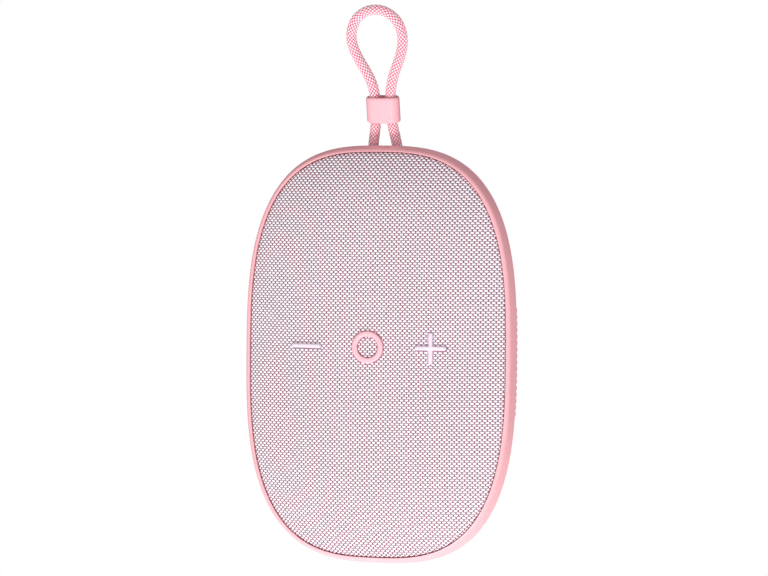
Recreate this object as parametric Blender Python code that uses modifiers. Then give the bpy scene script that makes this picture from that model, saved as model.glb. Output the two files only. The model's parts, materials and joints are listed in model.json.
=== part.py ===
"""Shower speaker: a splash-proof pocket speaker that hangs by a braided cord loop.

Units are metres, +Z is up and the fabric front faces -Y. Everything is modelled in the body's own
frame (X to the right, Y to the back, Z up, from the centre of the rim's crease plane) and parented to
an empty that puts the world origin at the hang point, the inside of the top of the cord loop.
"""

import math

import bmesh
import bpy
from mathutils import Vector

# ---------------------------------------------------------------- driving dimensions (metres)

HALF_WIDTH = 0.0476            # widest line of the housing, where bezel meets rear shell
HALF_HEIGHT = 0.0712
CORNER_POWER = 2.9             # superellipse exponent of the outline
SEGMENTS = 40                  # straight sides of every outline loop

WIDEST_Y = 0.0045              # depth of the widest line behind the rim's crease
PART_GAP = 0.0003              # gap left between pieces that touch
WALL = 0.0018                  # housing wall
REAR_DEPTH = 0.0267            # depth of the rear shell behind the parting line
REAR_DRAFT = 0.30              # straight draft of the rear shell's side
REAR_BOWL = 0.0080             # extra inset of the flat back from the bowl's rounding
REAR_BOWL_POWER = 2.6

DOME_HALF_WIDTH = 0.04485      # outline of the fabric front
DOME_HALF_HEIGHT = 0.06875
DOME_EDGE_Y = -0.0005          # where the fabric meets the rim
DOME_TUCK_Y = 0.0011           # how far back the fabric is tucked
DOME_RISE = 0.0090             # height of the dome over its edge
DOME_POWER_SIDE = 3.0          # how flat the dome is across
DOME_POWER_END = 5.5           # how flat it is along
FABRIC_THICKNESS = 0.0007
GRILLE_THICKNESS = 0.0014

BUTTON_X = -0.00075            # middle of the row of marks
BUTTON_Z = 0.0031
BUTTON_SPACING = 0.0218
ICON_LENGTH = 0.0108           # of each mark's bars, and the ring's outer diameter
ICON_BAR = 0.0014
ICON_RAISE = 0.0008
RING_INNER = 0.0073            # inner diameter of the ring
ICON_CLEARANCE = 0.0005
FLANGE_RADIUS = 0.0060         # of the flange behind the grille that keeps a button in
FLANGE_THICKNESS = 0.0008
FLANGE_BEHIND_GRILLE = 0.0009
FLANGE_BITE = 0.0004           # overlap of the joined shapes within a button
BOARD_FRONT_Y = -0.0016
BOARD_THICKNESS = 0.0012

BAFFLE_Y = 0.0049
BAFFLE_THICKNESS = 0.0018
DRIVER_Z = -0.0320
DRIVER_RADIUS = 0.0230
DRIVER_SCREW_CIRCLE = 0.0248
RADIATOR_Z = 0.0330

STRAP_Y = 0.0084               # where the cord's legs leave the housing's top
STRAP_LEAN = math.radians(13.5)
CORD_DIAMETER = 0.0035
CORD_SPACING = 0.0084          # between the two legs where they leave the top
BEAD_WIDTH = 0.0116
BEAD_DEPTH = 0.0060
BEAD_HEIGHT = 0.0088
BEAD_WALL = 0.0008
BEAD_ABOVE_EXIT = 0.0138       # bead's middle above the exit, along the strap
LOOP_TOP = 0.0482              # top of the cord's centre line above the exit, along the strap

FLAP_Z = (-0.0205, 0.0168)
FLAP_Y = (0.0076, 0.0146)
FLAP_PROUD = 0.0006
FLAP_THICKNESS = 0.0018
FLAP_POCKET = 0.0015
PORT_Y = 0.0115
PORT_Z = -0.0045
PORT_FLOOR_X = 0.0372
PORT_SIZE = (0.0060, 0.0130)   # recess in front of the socket, along Y and Z
PORT_MOUTH = (0.0040, 0.0098)

CELL_RADIUS = 0.0092
CELL_LENGTH = 0.0500
CELL_CENTRE = (-0.0080, 0.0184, 0.0020)
MAIN_BOARD_Y = 0.0170
MAIN_BOARD_SIZE = (0.0460, 0.0340)
HOUSING_SCREWS = ((0.0305, 0.0530, 0.0155), (0.0388, 0.0120, 0.0200), (0.0305, -0.0530, 0.0155))

# ---------------------------------------------------------------- scene and materials

for old in list(bpy.data.objects):
    bpy.data.objects.remove(old)

parts = bpy.data.collections.new("shower_speaker")
tools = bpy.data.collections.new("cutters")
bpy.context.scene.collection.children.link(parts)
bpy.context.scene.collection.children.link(tools)


def material(name, colour, roughness, metallic=0.0):
    made = bpy.data.materials.new(name)
    made.use_nodes = True
    shader = made.node_tree.nodes["Principled BSDF"]
    shader.inputs["Base Color"].default_value = (*colour, 1.0)
    shader.inputs["Roughness"].default_value = roughness
    shader.inputs["Metallic"].default_value = metallic
    return made


PINK_SOFT = material("pink_soft_touch", (0.93, 0.42, 0.48), 0.55)
PINK_RIM = material("pink_rim", (1.00, 0.51, 0.54), 0.45)
PINK_RUBBER = material("pink_rubber", (0.95, 0.46, 0.51), 0.6)
LILAC = material("lilac_icon", (0.92, 0.80, 0.88), 0.5)
FABRIC = material("woven_fabric", (0.62, 0.45, 0.52), 0.9)
CORD = material("braided_cord", (0.98, 0.60, 0.68), 0.85)
BEAD = material("pink_bead", (1.00, 0.45, 0.53), 0.4)
GREY_PLASTIC = material("grey_plastic", (0.16, 0.16, 0.17), 0.6)
BLACK_RUBBER = material("black_rubber", (0.03, 0.03, 0.03), 0.8)
CIRCUIT_BOARD = material("circuit_board", (0.02, 0.18, 0.08), 0.5)
STEEL = material("steel", (0.60, 0.60, 0.62), 0.35, 1.0)
FERRITE = material("ferrite", (0.05, 0.05, 0.055), 0.7)
COPPER = material("copper", (0.75, 0.36, 0.20), 0.35, 1.0)
PAPER_CONE = material("paper_cone", (0.09, 0.09, 0.09), 0.8)
CELL_WRAP = material("cell_wrap", (0.10, 0.25, 0.55), 0.4)
LED_LENS = material("led_lens", (0.90, 0.92, 0.95), 0.25)

# ---------------------------------------------------------------- frames (empties)


def empty(name, location, parent=None, tilt=0.0):
    made = bpy.data.objects.new(name, None)
    made.location = location
    made.rotation_euler = (tilt, 0.0, 0.0)
    made.parent = parent
    parts.objects.link(made)
    return made


def housing_inset(y):
    """Inset of the rear shell's outline from the widest line, at depth y."""
    depth = min(y - WIDEST_Y - PART_GAP, REAR_DEPTH)
    fraction = max(depth / REAR_DEPTH, 0.0) ** REAR_BOWL_POWER
    bowl = REAR_BOWL * (1.0 - (1.0 - fraction) ** (1.0 / REAR_BOWL_POWER))
    return REAR_DRAFT * depth + bowl


STRAP_EXIT = (0.0, STRAP_Y, HALF_HEIGHT - housing_inset(STRAP_Y))
HANG_REACH = LOOP_TOP - CORD_DIAMETER / 2
BODY_ORIGIN = (
    0.0,
    HANG_REACH * math.sin(STRAP_LEAN) - STRAP_EXIT[1],
    -HANG_REACH * math.cos(STRAP_LEAN) - STRAP_EXIT[2],
)
body = empty("body_frame", BODY_ORIGIN)
strap = empty("strap_frame", STRAP_EXIT, body, STRAP_LEAN)

# ---------------------------------------------------------------- building blocks


def place(name, mesh, mat, parent=body, location=(0, 0, 0), rotation=(0, 0, 0), tool=False):
    made = bpy.data.objects.new(name, mesh)
    made.parent = parent
    made.location = location
    made.rotation_euler = rotation
    if tool:
        made.hide_render = True
        made.display_type = "WIRE"
        tools.objects.link(made)
    else:
        made.data.materials.append(mat)
        made.data.shade_smooth()
        made.data.set_sharp_from_angle(angle=math.radians(35))
        parts.objects.link(made)
    return made


def finish_mesh(name, bm):
    bmesh.ops.recalc_face_normals(bm, faces=bm.faces)
    mesh = bpy.data.meshes.new(name)
    bm.to_mesh(mesh)
    bm.free()
    return mesh


def box(name, size, centre, mat=None, parent=body, rotation=(0, 0, 0), bevel=0.0, tool=False):
    bm = bmesh.new()
    bmesh.ops.create_cube(bm, size=1.0)
    bmesh.ops.scale(bm, vec=size, verts=bm.verts)
    made = place(name, finish_mesh(name, bm), mat, parent, centre, rotation, tool)
    if bevel:
        edge = made.modifiers.new("edges", "BEVEL")
        edge.width = bevel
        edge.segments = 2
    return made


def drum(name, radius, y_front, y_back, x=0.0, z=0.0, mat=None, sides=16, parent=body, tool=False):
    """Cylinder along Y from y_front to y_back."""
    bm = bmesh.new()
    bmesh.ops.create_cone(
        bm, cap_ends=True, segments=sides, radius1=radius, radius2=radius, depth=y_back - y_front
    )
    mesh = finish_mesh(name, bm)
    centre = (x, (y_front + y_back) / 2, z)
    return place(name, mesh, mat, parent, centre, (-math.pi / 2, 0, 0), tool)


def strap_drum(name, radius, low, high, x):
    """Cutter along the strap's own height, from low to high."""
    bm = bmesh.new()
    bmesh.ops.create_cone(
        bm, cap_ends=True, segments=16, radius1=radius, radius2=radius, depth=high - low
    )
    return place(name, finish_mesh(name, bm), None, strap, (x, 0, (high + low) / 2), tool=True)


def turned(name, profile, mat, location=(0, 0, 0), parent=body, sides=20, closed=True, upright=False,
           tool=False):
    """Profile of (radius, depth) points turned about the depth axis: +Y, or the parent's Z if upright."""
    turns = zip(profile, [*profile[1:], profile[0]])
    if sum(r1 * d2 - r2 * d1 for (r1, d1), (r2, d2) in turns) > 0:
        profile = list(reversed(profile))   # the outer side has to run from high to low depth
    bm = bmesh.new()
    verts = [bm.verts.new((radius, 0.0, depth)) for radius, depth in profile]
    for first, second in zip(verts, verts[1:]):
        bm.edges.new((first, second))
    if closed:
        bm.edges.new((verts[-1], verts[0]))
    mesh = bpy.data.meshes.new(name)
    bm.to_mesh(mesh)
    bm.free()
    rotation = (0, 0, 0) if upright else (-math.pi / 2, 0, 0)
    made = place(name, mesh, mat, parent, location, rotation, tool)
    screw = made.modifiers.new("turn", "SCREW")
    screw.axis = "Z"
    screw.steps = sides
    screw.render_steps = sides
    screw.use_merge_vertices = True
    screw.merge_threshold = 0.00001
    screw.use_smooth_shade = True
    return made


def boolean(target, tool, operation, name):
    step = target.modifiers.new(name, "BOOLEAN")
    step.operation = operation
    step.solver = "EXACT"
    step.object = tool


def cut(target, *cutters):
    for cutter in cutters:
        boolean(target, cutter, "DIFFERENCE", "cut_" + cutter.name)


def join(target, *additions):
    for addition in additions:
        boolean(target, addition, "UNION", "join_" + addition.name)


def outline(half_width, half_height, power=CORNER_POWER, count=SEGMENTS):
    """Superellipse as (x, z) points, evenly spread round the curve."""
    points = []
    for index in range(count):
        angle = 2 * math.pi * index / count
        across, along = math.cos(angle), math.sin(angle)
        reach = (abs(across) ** power + abs(along) ** power) ** (-1 / power)
        points.append((half_width * across * reach, half_height * along * reach))
    return points


def stadium(width, depth, count=24):
    """Stadium as (x, y) points: two half circles joined by straights."""
    radius = depth / 2
    offset = width / 2 - radius
    points = []
    for index in range(count):
        angle = 2 * math.pi * (index + 0.5) / count
        shift = offset if math.cos(angle) > 0 else -offset
        points.append((shift + radius * math.cos(angle), radius * math.sin(angle)))
    return points


def loft(name, rings, mat=None, closed=False, parent=body, location=(0, 0, 0), tool=False, capped=True):
    """Skin over rings of equally many points; closed joins the last ring to the first."""
    bm = bmesh.new()
    loops = [[bm.verts.new(point) for point in ring] for ring in rings]
    pairs = list(zip(loops, loops[1:]))
    if closed:
        pairs.append((loops[-1], loops[0]))
    for lower, upper in pairs:
        for index in range(len(lower)):
            follow = (index + 1) % len(lower)
            bm.faces.new((lower[index], lower[follow], upper[follow], upper[index]))
    if capped and not closed:
        bm.faces.new(loops[0])
        bm.faces.new(loops[-1])
    return place(name, finish_mesh(name, bm), mat, parent, location, (0, 0, 0), tool)


def slab(name, points, y_front, y_back, mat=None, tool=False, x=0.0, z=0.0):
    """Flat plate with an outline in X and Z."""
    rings = [[(px + x, y, pz + z) for px, pz in points] for y in (y_front, y_back)]
    return loft(name, rings, mat, tool=tool)


def band(name, section, mat, power=CORNER_POWER, x=0.0, z=0.0, count=SEGMENTS):
    """Closed ring: a section of (half width, half height, y) points carried round the outline."""
    rings = []
    for half_width, half_height, y in section:
        points = outline(half_width, half_height, power, count)
        rings.append([(px + x, y, pz + z) for px, pz in points])
    return loft(name, rings, mat, closed=True)


def tube(name, points, diameter, mat, parent=body, sides=2):
    curve = bpy.data.curves.new(name, "CURVE")
    curve.dimensions = "3D"
    curve.bevel_depth = diameter / 2
    curve.bevel_resolution = sides
    curve.use_fill_caps = True
    spline = curve.splines.new("POLY")
    spline.points.add(len(points) - 1)
    for target, point in zip(spline.points, points):
        target.co = (*point, 1.0)
    made = bpy.data.objects.new(name, curve)
    made.parent = parent
    curve.materials.append(mat)
    parts.objects.link(made)
    return made


def smooth_path(points, steps):
    """Catmull-Rom curve through the points, with this many steps between each pair."""
    knots = [Vector(point) for point in points]
    knots = [2 * knots[0] - knots[1], *knots, 2 * knots[-1] - knots[-2]]
    path = []
    for index in range(1, len(knots) - 2):
        before, start, end, after = knots[index - 1:index + 3]
        for step in range(steps):
            t = step / steps
            path.append(0.5 * (
                2 * start
                + (end - before) * t
                + (2 * before - 5 * start + 4 * end - after) * t ** 2
                + (3 * start - 3 * end + after - before) * t ** 3
            ))
    path.append(knots[-2])
    return path


# ---------------------------------------------------------------- domed front: grille and fabric


def dome_y(x, z):
    """Depth of the fabric's outer surface over (x, z)."""
    across = abs(x) / DOME_HALF_WIDTH
    along = abs(z) / DOME_HALF_HEIGHT
    reach = (across ** CORNER_POWER + along ** CORNER_POWER) ** (1 / CORNER_POWER)
    share = along ** 2 / max(across ** 2 + along ** 2, 1e-12)
    power = DOME_POWER_SIDE + (DOME_POWER_END - DOME_POWER_SIDE) * share
    return DOME_EDGE_Y - DOME_RISE * (1 - min(reach, 1.0) ** power)


def dome_shell(name, inset, thickness, mat, scales):
    """Domed cover whose outer face lies inset behind the fabric's outer face."""
    rim = outline(DOME_HALF_WIDTH - inset, DOME_HALF_HEIGHT - inset)
    bm = bmesh.new()
    loops = [[bm.verts.new((x, DOME_TUCK_Y, z)) for x, z in rim]]
    for scale in scales:
        loops.append([
            bm.verts.new((x * scale, dome_y(x * scale, z * scale) + inset, z * scale)) for x, z in rim
        ])
    for lower, upper in zip(loops, loops[1:]):
        for index in range(SEGMENTS):
            follow = (index + 1) % SEGMENTS
            bm.faces.new((lower[index], lower[follow], upper[follow], upper[index]))
    crown = bm.verts.new((0, dome_y(0, 0) + inset, 0))
    for index in range(SEGMENTS):
        bm.faces.new((loops[-1][index], loops[-1][(index + 1) % SEGMENTS], crown))
    bmesh.ops.recalc_face_normals(bm, faces=bm.faces)
    if crown.normal.y > 0:
        bmesh.ops.reverse_faces(bm, faces=bm.faces)
    mesh = bpy.data.meshes.new(name)
    bm.to_mesh(mesh)
    bm.free()
    made = place(name, mesh, mat)
    solid = made.modifiers.new("wall", "SOLIDIFY")
    solid.thickness = thickness
    solid.offset = -1
    solid.use_even_offset = True
    return made


def button_tilt(x):
    """Slope of the dome at a button, as a turn about Z."""
    step = 0.0005
    slope = (dome_y(x + step, BUTTON_Z) - dome_y(x - step, BUTTON_Z)) / (2 * step)
    return math.atan(slope)


def icon_tool(name, x, kind, grow, y_front, y_back):
    """Prism of a button's mark, grown by a clearance, for cutting its opening."""
    depth = y_back - y_front
    middle = (x, (y_front + y_back) / 2, BUTTON_Z)
    turn = (0, 0, button_tilt(x))
    if kind == "ring":
        return [drum(name, ICON_LENGTH / 2 + grow, y_front, y_back, x, BUTTON_Z, sides=32, tool=True)]
    long_bar = (ICON_LENGTH + 2 * grow, depth, ICON_BAR + 2 * grow)
    tall_bar = (ICON_BAR + 2 * grow, depth, ICON_LENGTH + 2 * grow)
    bars = [box(name + "_across", long_bar, middle, rotation=turn, tool=True)]
    if kind == "plus":
        bars.append(box(name + "_along", tall_bar, middle, rotation=turn, tool=True))
    return bars


BUTTONS = (
    ("minus", BUTTON_X - BUTTON_SPACING, "bar"),
    ("play", BUTTON_X, "ring"),
    ("plus", BUTTON_X + BUTTON_SPACING, "plus"),
)
OPENING_Y = (-0.0130, -0.0040)   # from ahead of the dome to behind the grille

FINE_RINGS = (1.0, 0.955, 0.87, 0.73, 0.52, 0.27)
COARSE_RINGS = (1.0, 0.92, 0.78, 0.58, 0.33)
grille_inset = FABRIC_THICKNESS + PART_GAP
grille = dome_shell("grille_dome", grille_inset, GRILLE_THICKNESS, GREY_PLASTIC, COARSE_RINGS)
fabric = dome_shell("fabric_cover", 0.0, FABRIC_THICKNESS, FABRIC, FINE_RINGS)

for label, centre_x, mark in BUTTONS:
    for opening in icon_tool("opening_" + label, centre_x, mark, ICON_CLEARANCE, *OPENING_Y):
        cut(fabric, opening)
        cut(grille, opening)

SLOT_COUNT = 4
SLOT_PITCH = 0.0078
SLOT_WIDTH = 0.0030
SLOT_DEPTH = 0.0080
for field, centre_z, half_length in (("driver", DRIVER_Z, 0.0173), ("radiator", RADIATOR_Z, 0.0191)):
    for index in range(SLOT_COUNT):
        slot_z = centre_z + (index - (SLOT_COUNT - 1) / 2) * SLOT_PITCH
        size = (2 * half_length, SLOT_DEPTH, SLOT_WIDTH)
        cut(grille, box(f"slot_{field}_{index}", size, (0, -SLOT_DEPTH, slot_z), tool=True))

# ---------------------------------------------------------------- bezel


def inset_point(inset_x, inset_z, y):
    return HALF_WIDTH - inset_x, HALF_HEIGHT - inset_z, y


SIDE_CREASE = (0.00100, 0.00110)   # inset of the crease between the rim's face and its side
LIP = (0.00245, 0.00215)           # inset of the rim's inner edge, beside the fabric
bezel_section = [
    inset_point(0.0, 0.0, WIDEST_Y),
    inset_point(0.00035, 0.00040, 0.0028),
    inset_point(0.00070, 0.00078, 0.0014),
    inset_point(*SIDE_CREASE, 0.0002),
    inset_point(0.0022, 0.0020, -0.00075),
    inset_point(0.0023, 0.0020, -0.0008),
    inset_point(*LIP, -0.0006),
    inset_point(*LIP, 0.0015),
    inset_point(0.0046, 0.0043, 0.0015),
    inset_point(0.0046, 0.0043, 0.0030),
    inset_point(0.0022, 0.0022, 0.0030),
    inset_point(0.0022, 0.0022, WIDEST_Y),
]
band("front_bezel", bezel_section, PINK_RIM)

seal_section = [
    inset_point(0.0026, 0.0026, 0.0033),
    inset_point(0.0042, 0.0042, 0.0033),
    inset_point(0.0042, 0.0042, 0.0046),
    inset_point(0.0026, 0.0026, 0.0046),
]
band("seal_ring", seal_section, BLACK_RUBBER)

# ---------------------------------------------------------------- rear shell


RIM_Y = WIDEST_Y + PART_GAP
RIM_EXTRA = 0.0010             # the bowl starts this far ahead of its rim and is trimmed flat


def rear_shell_rings():
    """Outlines from ahead of the parting line to the flat back."""
    steps = 7
    rings = []
    for index in range(steps + 1):
        angle = math.pi / 2 * index / steps
        depth = REAR_DEPTH * math.sin(angle) ** (2 / REAR_BOWL_POWER)
        y = RIM_Y + (depth if index else -RIM_EXTRA)
        inset = housing_inset(y)
        rings.append([(x, y, z) for x, z in outline(HALF_WIDTH - inset, HALF_HEIGHT - inset)])
    return rings


def side_patch(name, margin, offset, thickness, mat=None, tool=False):
    """Panel that follows the right side of the housing, offset outwards from its surface."""
    rows, columns = 3, 6
    bm = bmesh.new()
    grid = []
    for row in range(rows + 1):
        y = FLAP_Y[0] - margin + (FLAP_Y[1] - FLAP_Y[0] + 2 * margin) * row / rows
        half_width = HALF_WIDTH - housing_inset(y)
        half_height = HALF_HEIGHT - housing_inset(y)
        line = []
        for column in range(columns + 1):
            z = FLAP_Z[0] - margin + (FLAP_Z[1] - FLAP_Z[0] + 2 * margin) * column / columns
            reach = (1 - (abs(z) / half_height) ** CORNER_POWER) ** (1 / CORNER_POWER)
            line.append(bm.verts.new((half_width * reach + offset, y, z)))
        grid.append(line)
    for lower, upper in zip(grid, grid[1:]):
        for column in range(columns):
            bm.faces.new((lower[column], lower[column + 1], upper[column + 1], upper[column]))
    sheet = bmesh.ops.extrude_face_region(bm, geom=list(bm.faces))
    moved = [item for item in sheet["geom"] if isinstance(item, bmesh.types.BMVert)]
    bmesh.ops.translate(bm, vec=(-thickness, 0, 0), verts=moved)
    return place(name, finish_mesh(name, bm), mat, tool=tool)


def open_bowl(name, rings):
    """Surface over the rings, closed at the last one only, its faces pointing out."""
    bm = bmesh.new()
    loops = [[bm.verts.new(point) for point in ring] for ring in rings]
    for near, far in zip(loops, loops[1:]):
        for index in range(SEGMENTS):
            follow = (index + 1) % SEGMENTS
            bm.faces.new((near[index], near[follow], far[follow], far[index]))
    back_face = bm.faces.new(loops[-1])
    bmesh.ops.recalc_face_normals(bm, faces=bm.faces)
    bm.normal_update()
    if back_face.normal.y < 0:
        bmesh.ops.reverse_faces(bm, faces=bm.faces)
    mesh = bpy.data.meshes.new(name)
    bm.to_mesh(mesh)
    bm.free()
    return mesh


rear_shell = place("rear_shell", open_bowl("rear_shell", rear_shell_rings()), PINK_SOFT)
rear_wall = rear_shell.modifiers.new("wall", "SOLIDIFY")
rear_wall.thickness = WALL
rear_wall.offset = -1
rear_wall.use_even_offset = True
TRIM_DEPTH = 0.0200
trim_size = (4 * HALF_WIDTH, TRIM_DEPTH, 4 * HALF_HEIGHT)
cut(rear_shell, box("rim_trim", trim_size, (0, RIM_Y - TRIM_DEPTH / 2, 0), tool=True))

BACK_Y = RIM_Y + REAR_DEPTH
BOSS_FRONT_Y = BAFFLE_Y + BAFFLE_THICKNESS + PART_GAP
BOSS_RADIUS = 0.0030
STANDOFF_RADIUS = 0.0022
SCREW_HOLE = 0.00145           # radius of the pilot holes
CLEARANCE_HOLE = 0.0015        # radius of the holes that a screw passes through
SKIN = 0.0016                  # least wall round the port's recess

join(rear_shell, side_patch("flap_backing", 0.0006, -0.0010, 0.0024, tool=True))
port_block_size = (0.0090, PORT_SIZE[0] + 0.0026, PORT_SIZE[1] + 0.0036)
port_block_x = PORT_FLOOR_X - SKIN + port_block_size[0] / 2
join(rear_shell, box("port_block", port_block_size, (port_block_x, PORT_Y, PORT_Z), tool=True))


def screw_places():
    """Housing screws as (x, z, end of boss), right side then left side."""
    for side in (1, -1):
        for x, z, boss_end in HOUSING_SCREWS:
            yield side * x, z, boss_end


for index, (x, z, boss_end) in enumerate(screw_places(), 1):
    join(rear_shell, drum(f"boss_{index}", BOSS_RADIUS, BOSS_FRONT_Y, boss_end, x, z, sides=8, tool=True))
STANDOFFS = [(x, z) for x in (-0.0200, 0.0200) for z in (0.0200, 0.0470)]
for index, (x, z) in enumerate(STANDOFFS, 1):
    front = MAIN_BOARD_Y + BOARD_THICKNESS + PART_GAP
    post_end = BACK_Y - WALL / 2
    join(rear_shell, drum(f"standoff_{index}", STANDOFF_RADIUS, front, post_end, x, z, sides=8, tool=True))
ANCHOR_SCREW_X = 0.0130
ANCHOR_Z = 0.0607
ANCHOR_Y = (0.0070, 0.0132)
for side in (-1, 1):
    label = "left" if side < 0 else "right"
    pillar = drum(
        "anchor_pillar_" + label, BOSS_RADIUS, ANCHOR_Y[1] + PART_GAP, 0.0200,
        side * ANCHOR_SCREW_X, ANCHOR_Z, sides=12, tool=True,
    )
    join(rear_shell, pillar)
    cut(rear_shell, drum(
        "anchor_hole_" + label, SCREW_HOLE, 0.0100, 0.0182,
        side * ANCHOR_SCREW_X, ANCHOR_Z, sides=10, tool=True,
    ))

cut(rear_shell, side_patch("flap_pocket", 0.00035, 0.0020, 0.0020 + FLAP_POCKET, tool=True))
recess_size = (0.0140, *PORT_SIZE)
cut(rear_shell, box("port_recess", recess_size, (PORT_FLOOR_X + 0.0070, PORT_Y, PORT_Z), tool=True))
mouth_size = (0.0060, *PORT_MOUTH)
cut(rear_shell, box("port_mouth", mouth_size, (PORT_FLOOR_X - 0.0020, PORT_Y, PORT_Z), tool=True))
for index, (x, z, boss_end) in enumerate(screw_places(), 1):
    hole = drum(f"hole_{index}", SCREW_HOLE, 0.0050, 0.0142, x, z, sides=8, tool=True)
    cut(rear_shell, hole)

PAD_HALF = (0.0270, 0.0500)
PAD_SINK = 0.0006
PAD_THICKNESS = 0.0012
pad_hollow = outline(PAD_HALF[0] + PART_GAP, PAD_HALF[1] + PART_GAP, count=24)
cut(rear_shell, slab("pad_hollow", pad_hollow, BACK_Y - PAD_SINK, BACK_Y + 0.0020, tool=True))
pad_front = BACK_Y - PAD_SINK + PART_GAP
pad_rings = []
for inset, y in ((0.0, pad_front), (0.0, pad_front + 0.0008), (0.0004, pad_front + PAD_THICKNESS)):
    ring = outline(PAD_HALF[0] - inset, PAD_HALF[1] - inset, count=24)
    pad_rings.append([(x, y, z) for x, z in ring])
loft("rear_pad", pad_rings, PINK_RUBBER)

# ---------------------------------------------------------------- baffle and housing screws

BAFFLE_INSET = 0.0030          # of the baffle's outline from the widest line
BOARD_POST_X = 0.0315
DRIVER_BOSS_RADIUS = 0.0026
DRIVER_PILOT = 0.0013
DRIVER_OPENING = 0.0212
THROUGH_Y = (0.0030, 0.0120)   # cutters from ahead of the baffle to behind its bosses

baffle_points = outline(HALF_WIDTH - BAFFLE_INSET, HALF_HEIGHT - BAFFLE_INSET)
baffle = slab("baffle_plate", baffle_points, BAFFLE_Y, BAFFLE_Y + BAFFLE_THICKNESS, GREY_PLASTIC)
for index, side in enumerate((-1, 1)):
    join(baffle, drum(
        f"board_post_{index}", STANDOFF_RADIUS, BOARD_FRONT_Y + BOARD_THICKNESS + PART_GAP,
        BAFFLE_Y + BAFFLE_THICKNESS / 3, side * BOARD_POST_X, BUTTON_Z, sides=8, tool=True,
    ))
DRIVER_SCREWS = []
for quarter in range(4):
    angle = math.pi / 4 + quarter * math.pi / 2
    DRIVER_SCREWS.append((
        DRIVER_SCREW_CIRCLE * math.cos(angle),
        DRIVER_Z + DRIVER_SCREW_CIRCLE * math.sin(angle),
    ))
for index, (x, z) in enumerate(DRIVER_SCREWS, 1):
    join(baffle, drum(f"driver_boss_{index}", DRIVER_BOSS_RADIUS, 0.0060, 0.0110, x, z, sides=8, tool=True))
    cut(baffle, drum(f"driver_pilot_{index}", DRIVER_PILOT, 0.0040, 0.0104, x, z, sides=8, tool=True))
cut(baffle, drum("driver_opening", DRIVER_OPENING, *THROUGH_Y, 0, DRIVER_Z, sides=24, tool=True))
RADIATOR_HALF = (0.0260, 0.0150)
RADIATOR_POWER = 3.6
radiator_hole = outline(RADIATOR_HALF[0] + PART_GAP, RADIATOR_HALF[1] + PART_GAP, RADIATOR_POWER, 24)
cut(baffle, slab("radiator_opening", radiator_hole, *THROUGH_Y, z=RADIATOR_Z, tool=True))
for index, (x, z, boss_end) in enumerate(screw_places(), 1):
    cut(baffle, drum(f"clearance_{index}", CLEARANCE_HOLE, *THROUGH_Y, x, z, sides=8, tool=True))
RIBBON_X = 0.0240
RIBBON_WIDTH = 0.0060
grommet_relief = (0.0160, 0.0040, 0.0040)
cut(baffle, box("grommet_relief", grommet_relief, (0, 0.0075, 0.0680), tool=True))
ribbon_slot = (RIBBON_WIDTH + 0.0040, 0.0060, 0.0020)
cut(baffle, box("ribbon_slot", ribbon_slot, (RIBBON_X, 0.0058, 0.0110), tool=True))


def screw(name, seat_y, length, x, z, head=0.0023, shank=0.00115):
    """Pan-head screw driven towards +Y: its head's underside at seat_y."""
    profile = [
        (0.0, length),
        (shank, length - 0.0012),
        (shank, 0.0),
        (head, 0.0),
        (head * 0.8, -0.0013),
        (0.0008, -0.0013),
        (0.0, -0.0006),
    ]
    return turned(name, profile, STEEL, (x, seat_y, z), sides=8, closed=False)


for index, (x, z, boss_end) in enumerate(screw_places(), 1):
    screw(f"housing_screw_{index}", BAFFLE_Y - PART_GAP, 0.0088, x, z)

# ---------------------------------------------------------------- driver

FLANGE_Y = BAFFLE_Y - PART_GAP    # back of the driver's and the radiator's flanges
FLANGE_FRONT_Y = 0.0034
EAR_RADIUS = 0.0034
basket_profile = [
    (DRIVER_RADIUS, FLANGE_FRONT_Y),
    (0.0200, FLANGE_FRONT_Y),
    (0.0198, 0.0052),
    (0.0164, 0.0122),
    (0.0152, 0.0122),
    (0.0152, 0.0131),
    (0.0095, 0.0131),
    (0.0095, 0.0140),
    (0.0164, 0.0140),
    (0.0208, 0.0056),
    (0.0208, FLANGE_Y),
    (DRIVER_RADIUS, FLANGE_Y),
]
basket = turned("driver_basket", basket_profile, STEEL, (0, 0, DRIVER_Z))
for index, (x, z) in enumerate(DRIVER_SCREWS, 1):
    join(basket, drum(f"ear_{index}", EAR_RADIUS, FLANGE_FRONT_Y, FLANGE_Y, x, z, sides=10, tool=True))
    cut(basket, drum(f"ear_hole_{index}", CLEARANCE_HOLE, 0.0020, 0.0060, x, z, sides=8, tool=True))
WINDOW_SIZE = (0.0600, 0.0042, 0.0120)   # of a slot right across the basket, open on both sides
for index in range(2):
    window = box(
        f"window_{index}", WINDOW_SIZE, (0, 0.0092, DRIVER_Z),
        rotation=(0, math.radians(90 * index), 0), tool=True,
    )
    cut(basket, window)
for index, (x, z) in enumerate(DRIVER_SCREWS, 1):
    screw(f"driver_screw_{index}", FLANGE_FRONT_Y - PART_GAP, 0.0068, x, z, head=0.0021, shank=0.0010)

turned("driver_gasket", [(0.0213, 0.0018), (0.0213, 0.0031), (0.0229, 0.0031), (0.0229, 0.0018)],
       BLACK_RUBBER, (0, 0, DRIVER_Z))
turned("driver_top_plate", [(0.0088, 0.0143), (0.0088, 0.0163), (0.0160, 0.0163), (0.0160, 0.0143)],
       STEEL, (0, 0, DRIVER_Z))
turned("driver_magnet", [(0.0100, 0.0166), (0.0100, 0.0222), (0.0160, 0.0222), (0.0160, 0.0166)],
       FERRITE, (0, 0, DRIVER_Z))
yoke_profile = [(0.0, 0.0245), (0.0160, 0.0245), (0.0160, 0.0225), (0.0072, 0.0225), (0.0072, 0.0143),
                (0.0, 0.0143)]
turned("driver_yoke", yoke_profile, STEEL, (0, 0, DRIVER_Z), closed=False)
turned("driver_voice_coil", [(0.0076, 0.0108), (0.0076, 0.0195), (0.0083, 0.0195), (0.0083, 0.0108)],
       COPPER, (0, 0, DRIVER_Z))
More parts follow.
